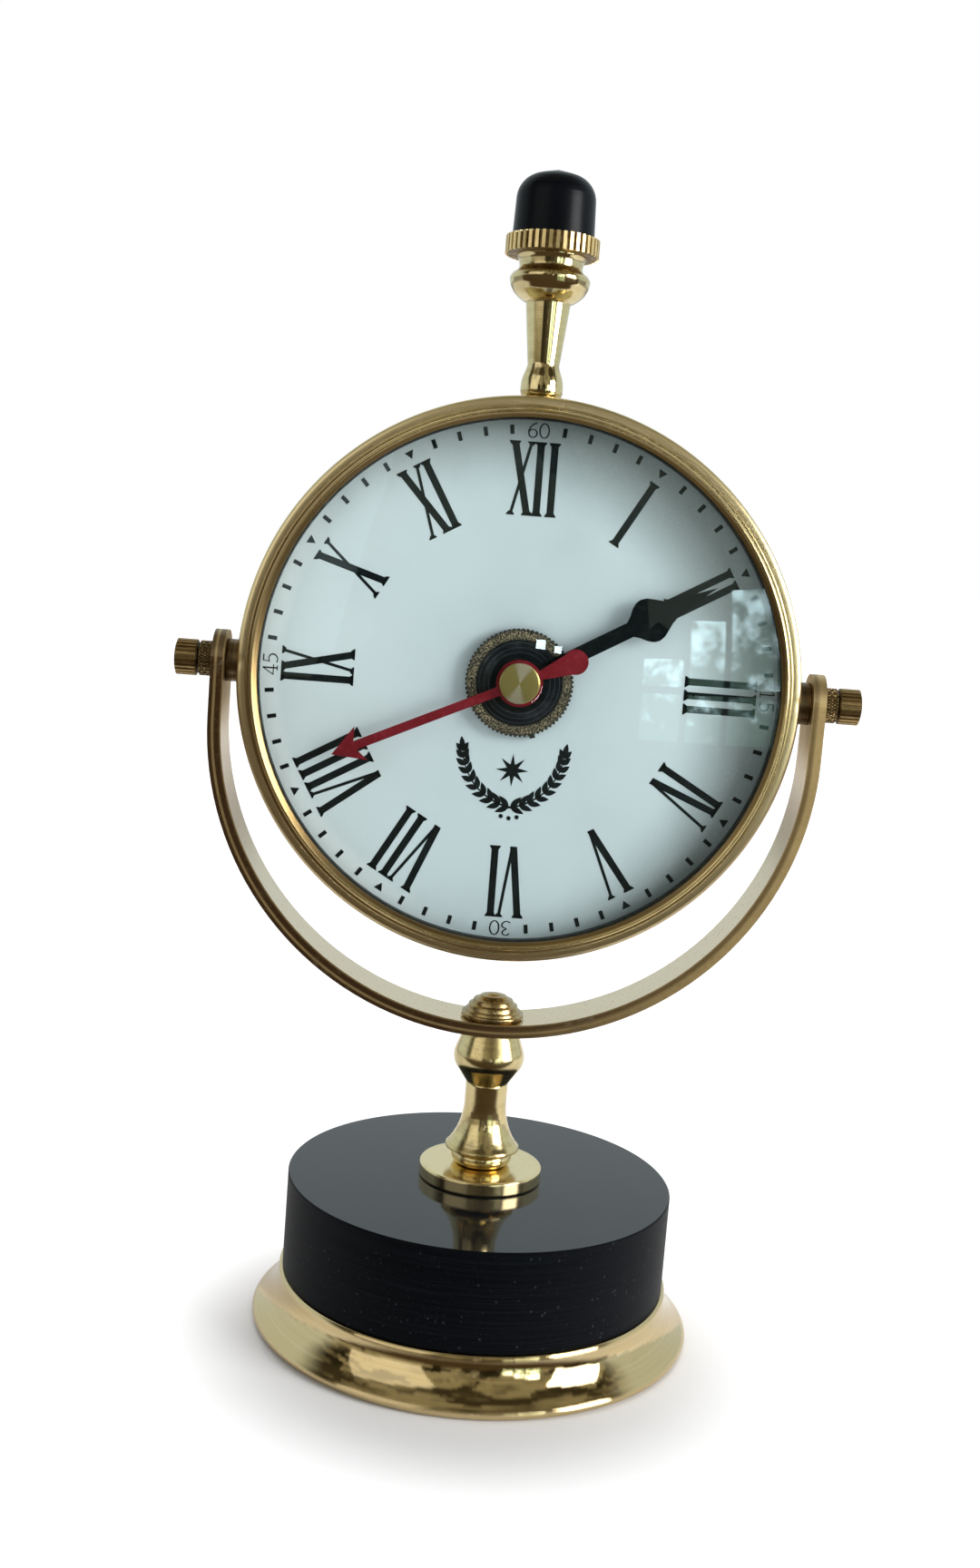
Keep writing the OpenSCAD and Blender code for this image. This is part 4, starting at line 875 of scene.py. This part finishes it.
@dataclass(frozen=True)
class Numerals:
    """Roman and plain figures drawn as strokes."""

    height: float = 13.6
    pitch: float = 2.58
    v_width: float = 4.1
    x_width: float = 3.95
    serif_w: float = 2.1
    serif_h: float = 0.30
    bracket: float = 0.45
    thin_serif: float = 0.72
    v_foot: float = 0.1
    v_inset: float = 0.25
    x_inset: float = 0.42

    def strokes(self, letter: str) -> list[tuple[float, float, float, bool, bool]]:
        """A letter's strokes as (foot x, head x, weight, serif at foot, serif at head)."""
        thick, thin = Stroke.THICK.value * self.height, Stroke.THIN.value * self.height
        half_v, half_x = self.v_width / 2 - self.v_inset, self.x_width / 2 - self.x_inset
        return {
            "I": [(0.0, 0.0, thick, True, True)],
            "V": [(-self.v_foot, -half_v, thick, False, True), (self.v_foot, half_v, thin, False, True)],
            "X": [(half_x, -half_x, thick, True, True), (-half_x, half_x, thin, True, True)],
        }[letter]

    def roman(self, word: str) -> list[list[Point2]]:
        """Outlines of a Roman numeral, centred over its foot.

        Args:
            word: the numeral.
        Returns:
            One outline for each stroke and serif.
        """
        advance = {"I": self.pitch, "V": self.v_width, "X": self.x_width}
        shapes = []
        start = -sum(advance[letter] for letter in word) / 2
        for letter in word:
            middle = start + advance[letter] / 2
            start += advance[letter]
            for foot, head, weight, low_serif, high_serif in self.strokes(letter):
                half, x0, x1, tall = weight / 2, middle + foot, middle + head, self.height
                shapes.append([(x0 - half, 0.0), (x0 + half, 0.0), (x1 + half, tall), (x1 - half, tall)])
                heavy = weight > Stroke.THIN.value * self.height
                wide = (self.serif_w if heavy else self.serif_w * self.thin_serif) / 2
                for x, y, way, wanted in ((x0, 0.0, 1, low_serif), (x1, tall, -1, high_serif)):
                    if wanted:
                        rise, tip = y + way * self.serif_h * 0.7, y + way * (self.serif_h + self.bracket)
                        shapes.append([(x - wide, y), (x + wide, y), (x + wide, rise), (x + half, tip),
                                       (x - half, tip), (x - wide, rise)])
        return shapes

    @staticmethod
    def figure(digit: str) -> list[tuple[list[Point2], float, float, bool]]:
        """A figure of height one, as strokes (middle line, side weight, end weight, closed)."""
        fine, bold = Stroke.FINE.value, Stroke.THICK.value

        def line(*points: Point2, weight: float = fine) -> tuple[list[Point2], float, float, bool]:
            """A straight stroke."""
            return list(points), weight, weight, False

        def bow(*points: Point2) -> tuple[list[Point2], float, float, bool]:
            """A swelling stroke through the points."""
            return smooth_curve(points), bold, fine, False

        return {
            "0": [(ellipse(0.31, 0.5, 0.245, 0.465), bold, fine, True)],
            "1": [line((0.26, 0.02), (0.26, 0.96), weight=bold * 0.9), line((0.10, 0.80), (0.27, 0.96)),
                  line((0.10, 0.02), (0.42, 0.02))],
            "3": [bow((0.09, 0.82), (0.19, 0.94), (0.34, 0.96), (0.46, 0.85), (0.44, 0.67), (0.27, 0.54),
                      (0.46, 0.43), (0.52, 0.26), (0.42, 0.09), (0.25, 0.03), (0.07, 0.10))],
            "4": [line((0.40, 0.97), (0.05, 0.27)), line((0.03, 0.27), (0.58, 0.27)),
                  line((0.40, 0.97), (0.40, 0.02), weight=bold), line((0.26, 0.02), (0.54, 0.02))],
            "5": [line((0.16, 0.95), (0.51, 0.95), weight=bold * 0.8), line((0.17, 0.96), (0.13, 0.54)),
                  bow((0.13, 0.55), (0.30, 0.61), (0.47, 0.52), (0.52, 0.31), (0.43, 0.12), (0.26, 0.03),
                      (0.08, 0.09))],
            "6": [bow((0.50, 0.97), (0.31, 0.86), (0.14, 0.62), (0.09, 0.36), (0.15, 0.12), (0.31, 0.03),
                      (0.47, 0.12), (0.53, 0.31), (0.46, 0.49), (0.31, 0.56), (0.16, 0.48), (0.09, 0.36))],
        }[digit]


@dataclass(frozen=True)
class DialPrint:
    """Everything printed on the dial."""

    numerals: Numerals = Numerals()
    print_h: float = 0.035
    sunk: float = 0.01
    tick_in: float = 45.85
    tick_out: float = 47.55
    tick_w: float = 0.76
    arrow_r: float = 46.5
    arrow_side: float = 1.75
    figure_r: float = 45.15
    figure_h: float = 2.85
    figure_step: float = 2.12
    figure_stretch: float = 1.22
    hour_foot_r: float = 30.9
    emblem_y: float = -17.4
    star_radii: Point2 = (3.1, 1.15)
    star_rise: float = 0.9
    star_points: int = 8
    stem_points: tuple[Point2, ...] = ((-0.9, -6.3), (2.8, -5.3), (6.6, -2.6), (8.9, 1.2), (9.6, 4.4))
    stem_widths: Point2 = (0.42, 0.17)
    leaf_turn: float = 0.62
    leaf_size: Point2 = (2.9, 0.55)
    leaf_taper: float = 0.03
    tip_leaf: Point2 = (2.3, 0.5)
    dots: tuple[Point2, ...] = ((-1.5, -7.9), (0.0, -8.2), (1.5, -7.9))
    dot_r: float = 0.42
    words: tuple[str, ...] = ("XII", "I", "II", "III", "IV", "V", "VI", "VII", "VIII", "IX", "X", "XI")
    quarters: tuple[str, ...] = ("60", "15", "30", "45")

    def sheet(self) -> Outline:
        """A fresh sheet of print, a little proud of the dial's face."""
        face = DIAL.reach("dial") / MM
        return Outline(face - self.sunk, face + self.print_h)

    @staticmethod
    def around(points: Iterable[Point2], minute: float, radius: float) -> list[Point2]:
        """Moves a shape drawn upright at the centre to a minute, its top outwards.

        Args:
            points: the shape.
            minute: where it goes, in minutes from the top.
            radius: distance of its foot from the centre.
        Returns:
            The placed points.
        """
        a = math.tau * minute / 60
        s, c = math.sin(a), math.cos(a)
        return [(u * c + (v + radius) * s, (v + radius) * c - u * s) for u, v in points]

    def ticks(self) -> None:
        """Minute strokes between the five-minute marks."""
        sheet, half, long = self.sheet(), self.tick_w / 2, self.tick_out - self.tick_in
        for minute in range(60):
            if minute % 5:
                sheet.prism(self.around([(-half, 0), (half, 0), (half, long), (-half, long)], minute, self.tick_in))
        sheet.piece("minute_strokes")

    def arrows(self) -> None:
        """Small triangles at the five-minute marks, pointing inwards."""
        sheet, half = self.sheet(), self.arrow_side / 2
        tall = half * math.sqrt(3) / 2
        for minute in range(0, 60, 5):
            if minute % 15:
                sheet.prism(self.around([(0, -tall), (half, tall), (-half, tall)], minute, self.arrow_r))
        sheet.piece("five_minute_marks")

    def figures(self) -> None:
        """The plain numbers at the quarters."""
        sheet = self.sheet()
        for quarter, word in enumerate(self.quarters):
            for k, digit in enumerate(word):
                shift = (k - len(word) / 2) * self.figure_step
                for line, side_w, end_w, closed in self.numerals.figure(digit):
                    points = [(shift + x * self.figure_h * self.figure_stretch, y * self.figure_h) for x, y in line]
                    widths = [(end_w + (side_w - end_w) * abs(heading(points, i, closed).y)) * self.figure_h
                              for i in range(len(points))]
                    sheet.ribbon(self.around(points, quarter * 15, self.figure_r), widths, closed)
        sheet.piece("quarter_figures")

    def hours(self) -> None:
        """The Roman hour numerals, their tops outwards."""
        for hour, word in enumerate(self.words):
            sheet = self.sheet()
            for shape in self.numerals.roman(word):
                sheet.prism(self.around(shape, hour * 5, self.hour_foot_r))
            sheet.piece(f"hour_{hour or 12}")

    def emblem(self) -> None:
        """A small laurel with a star, under the centre."""
        sheet = self.sheet()
        star = []
        for i in range(2 * self.star_points):
            radius, turn = self.star_radii[i % 2], math.pi * i / self.star_points
            star.append((radius * math.sin(turn), self.emblem_y + self.star_rise + radius * math.cos(turn)))
        sheet.prism(star)
        for side in (-1, 1):
            stem = smooth_curve([(side * x, self.emblem_y + y) for x, y in self.stem_points], 8)
            thick, thin = self.stem_widths
            sheet.ribbon(stem, [thick + (thin - thick) * i / len(stem) for i in range(len(stem))])
            for k in range(3, len(stem) - 1, 3):
                (x, y), (next_x, next_y) = stem[k], stem[k + 1]
                for turn in (-self.leaf_turn, self.leaf_turn):
                    towards = math.atan2(next_y - y, next_x - x) + turn
                    length, half_w = self.leaf_size
                    sheet.prism(self.leaf(x, y, towards, length - self.leaf_taper * k, half_w))
            (x, y), (tip_x, tip_y) = stem[-3], stem[-1]
            sheet.prism(self.leaf(tip_x, tip_y, math.atan2(tip_y - y, tip_x - x), *self.tip_leaf))
        for x, y in self.dots:
            sheet.prism(ellipse(x, self.emblem_y + y, self.dot_r, self.dot_r, 16))
        sheet.piece("laurel_print")

    @staticmethod
    def leaf(x: float, y: float, towards: float, length: float, half_w: float) -> list[Point2]:
        """A pointed leaf from (x, y) along a direction in radians."""
        c, s = math.cos(towards), math.sin(towards)
        side = [(length * t, half_w * math.sin(math.pi * t ** 0.8))
                for t in (0.0, 0.12, 0.25, 0.4, 0.55, 0.7, 0.85, 1.0)]
        shape = side + [(u, -v) for u, v in reversed(side[1:-1])]
        return [(x + u * c - v * s, y + u * s + v * c) for u, v in shape]

    def build(self) -> None:
        """Makes the whole print."""
        self.ticks()
        self.arrows()
        self.figures()
        self.hours()
        self.emblem()


# ---------------------------------------------------------------- studio


@dataclass(frozen=True)
class Lamp:
    """A soft square lamp at a place, in metres; polished pieces show it if it is mirrored."""

    name: str
    place: Point3
    size: float
    watts: float
    mirrored: bool = True

    def hang(self, aim: Point3) -> None:
        """Adds it to the scene, facing a point."""
        data = bpy.data.lights.new(self.name, "AREA")
        data.shape, data.size, data.energy = "SQUARE", self.size, self.watts
        made = add_object(self.name, data)
        made.location = self.place
        made.rotation_mode = "QUATERNION"
        made.rotation_quaternion = (Vector(aim) - Vector(self.place)).to_track_quat("-Z", "Y")
        made.visible_glossy = self.mirrored


@dataclass(frozen=True)
class Studio:
    """Floor, light and camera around the clock. The camera and the floor's shades are in millimetres."""

    lens: float = 41.15
    sensor: float = 36.0
    camera_at: Point3 = (-8.94, -337.59, 156.27)
    yaw: float = 0.855
    pitch: float = -8.31
    roll: float = 4.45
    floor_half: float = 6.0
    floor_tone: Colour = (0.94, 0.94, 0.94)
    floor_glow: float = 1.22
    shade_y: float = -12.0
    shade_radii: Point2 = (36.0, 70.0)
    table_front: Point2 = (52.0, 82.0)
    table_tone: Colour = (0.085, 0.060, 0.035)
    ambient: float = 0.31
    wall_dark: Colour = (0.024, 0.020, 0.011)
    wall_light: Colour = (0.40, 0.375, 0.27)
    ceiling: Colour = (0.15, 0.13, 0.08)
    daylight: Colour = (0.70, 0.79, 0.81)
    window_at: Point3 = (0.585, -1.05, 0.160)
    window_turn: float = 26.0
    window_strength: float = 11.5
    window_columns: tuple[Point3, ...] = ((-0.215, -0.095, 0.080), (-0.075, 0.030, 0.195), (0.050, 0.225, 0.29))
    window_rows: tuple[Point2, ...] = ((-0.27, -0.205), (-0.185, -0.02))
    warm_sky: Colour = (1.0, 0.88, 0.68)
    cool_sky: Colour = (0.92, 1.0, 1.0)
    leaf_tone: Colour = (0.07, 0.095, 0.07)
    spark_strength: float = 26.0
    spark_y: float = -1.2
    sparks: tuple[Point3, ...] = ((0.085, 0.262, 0.014), (0.137, 0.250, 0.011))
    aim: Point3 = (0.0, 0.0, 0.11)
    lamps: tuple[Lamp, ...] = (
        Lamp("key_lamp", (1.05, -0.56, 0.44), 0.6, 15.0),
        Lamp("fill_lamp", (-0.9, -0.9, 0.7), 1.1, 2.6),
        Lamp("back_lamp", (0.05, 0.70, 0.95), 1.3, 8.0, mirrored=False),
    )

    def world(self) -> None:
        """White behind the clock; a dimmer room in front of it for the metal to mirror."""
        world = bpy.data.worlds.new("studio_air")
        bpy.context.scene.world = world
        world.use_nodes = True
        graph = Graph(world.node_tree)
        camera, glossy, through = (Value(graph, graph.rays.outputs[f"Is {kind} Ray"])
                                   for kind in ("Camera", "Glossy", "Transmission"))
        way = graph.node("TexCoord").outputs["Generated"]
        front, height, side = graph.dot(way, -Y_AXIS), graph.dot(way, Z_AXIS), graph.dot(way, X_AXIS)
        swirl = graph.noise(2.6, 3.0, where=way)
        bent = graph.vector("ADD", way, graph.point(swirl * 0.42, swirl * -0.34, swirl * 0.38))
        shapes = (graph.blocks(2.8, bent) * 0.4 + graph.blocks(6.5, bent) * 0.25
                  + graph.noise(4.5, 4.0, where=way) * 0.35)
        wall = graph.blend(shapes.ramp(0.40, 0.64), self.wall_dark, self.wall_light)
        inside = graph.blend(height.ramp(0.50, 0.75) * 0.25, wall, self.ceiling)
        dim = (front + height.most(0.0) * 0.6 + side.size() * -0.18).ramp(-0.12, 0.22)
        room = graph.blend(dim, self.daylight, inside)
        unseen = graph.blend(glossy.most(through), (self.ambient,) * 3, room)
        colour = graph.blend(camera, unseen, WHITE)
        graph.finish(graph.node("Background", {"Color": colour, "Strength": 1.0}).outputs[0], "OutputWorld")

    @staticmethod
    def panes(name: str, corners: Sequence[Point3], paint: Callable[[Graph], Socket], seen: bool) -> None:
        """Puts flat panes into the studio.

        Args:
            name: the object's name.
            corners: four corners for each pane, in metres.
            paint: adds the nodes of their material and returns the shader.
            seen: whether more than reflections shows them.
        """
        data = bpy.data.meshes.new(name)
        data.from_pydata(corners, [], [tuple(range(i, i + 4)) for i in range(0, len(corners), 4)])
        data.materials.append(make_material(f"{name}_surface", paint))
        made = add_object(name, data)
        made.visible_camera = made.visible_diffuse = made.visible_shadow = seen

    def floor_shader(self, graph: Graph) -> Socket:
        """Matt near the clock, so that its shadow shows; white to the camera further off."""
        matt = graph.node("BsdfDiffuse", {"Color": self.floor_tone}).outputs[0]
        camera, mirrored = (Value(graph, graph.rays.outputs[f"Is {kind} Ray"]) for kind in ("Camera", "Glossy"))
        far = graph.along(-Y_AXIS).ramp(*self.table_front)
        near = graph.mixed(mirrored * far, matt, graph.glow(self.table_tone))
        offset = graph.vector("SUBTRACT", graph.place, (0.0, self.shade_y * MM, 0.0))
        away = Value(graph, graph.vector("LENGTH", offset, output="Value")) * (1 / MM)
        return graph.mixed(camera * away.ramp(*self.shade_radii), near, graph.glow(WHITE, self.floor_glow))

    def window_shader(self, graph: Graph) -> Socket:
        """Sky over leaves, warmer at the foot."""
        garden = graph.noise(14.0, 5.0, 0.65)
        height = graph.along(Z_AXIS, Vector((0, 0, self.window_at[2]))) * 0.0025
        sky = graph.blend(height.ramp(-0.45, -0.25), self.warm_sky, self.cool_sky)
        leaves = graph.blend((garden + height * 0.22).ramp(0.47, 0.72), self.leaf_tone, sky)
        return graph.glow(leaves, self.window_strength)

    def floor(self) -> None:
        """A plain pale floor that keeps the clock's shadow."""
        half = self.floor_half
        corners = ((-half, -half, 0), (half, -half, 0), (half, half, 0), (-half, half, 0))
        self.panes("floor", corners, self.floor_shader, True)

    def window(self) -> None:
        """A window with bars, seen only mirrored, in front of the clock and to its right."""
        place = Matrix.Translation(self.window_at) @ Matrix.Rotation(math.radians(self.window_turn), 4, "Z")
        corners = [place @ Vector((x, 0, z)) for left, right, top in self.window_columns
                   for low, high in (*self.window_rows, (0.0, top))
                   for x, z in ((left, low), (right, low), (right, high), (left, high))]
        self.panes("window", corners, self.window_shader, False)

    def spark_panes(self) -> None:
        """Two small bright panes, seen only mirrored, a little above the camera's right."""
        corners = [(x + half * i, self.spark_y, z + half * k) for x, z, half in self.sparks
                   for i, k in ((-1, -1), (1, -1), (1, 1), (-1, 1))]
        self.panes("sparks", corners, lambda graph: graph.glow(WHITE, self.spark_strength), False)

    def camera(self) -> None:
        """The camera at the photograph's viewing angle."""
        yaw, pitch, roll = (math.radians(v) for v in (self.yaw, self.pitch, self.roll))
        ahead = Vector((math.sin(yaw) * math.cos(pitch), math.cos(yaw) * math.cos(pitch), math.sin(pitch)))
        level = Vector((math.cos(yaw), -math.sin(yaw), 0.0))
        above = level.cross(ahead)
        right = level * math.cos(roll) + above * math.sin(roll)
        up = above * math.cos(roll) - level * math.sin(roll)
        data = bpy.data.cameras.new("camera")
        data.lens, data.sensor_width, data.sensor_fit = self.lens, self.sensor, "AUTO"
        data.clip_start, data.clip_end = 0.01, 50.0
        made = add_object("camera", data)
        made.matrix_world = Axes(Vector(self.camera_at) * MM, right, up, -ahead).matrix
        bpy.context.scene.camera = made

    def build(self) -> None:
        """Sets up the whole studio."""
        bpy.context.scene.view_settings.view_transform = "Standard"
        self.world()
        self.floor()
        for lamp in self.lamps:
            lamp.hang(self.aim)
        self.window()
        self.spark_panes()
        self.camera()


def main() -> None:
    """Dresses the clock and sets up the studio."""
    logging.basicConfig(level=logging.INFO, format="%(name)s: %(message)s")
    dress()
    DialPrint().build()
    Studio().build()


if __name__ == "__main__":
    main()
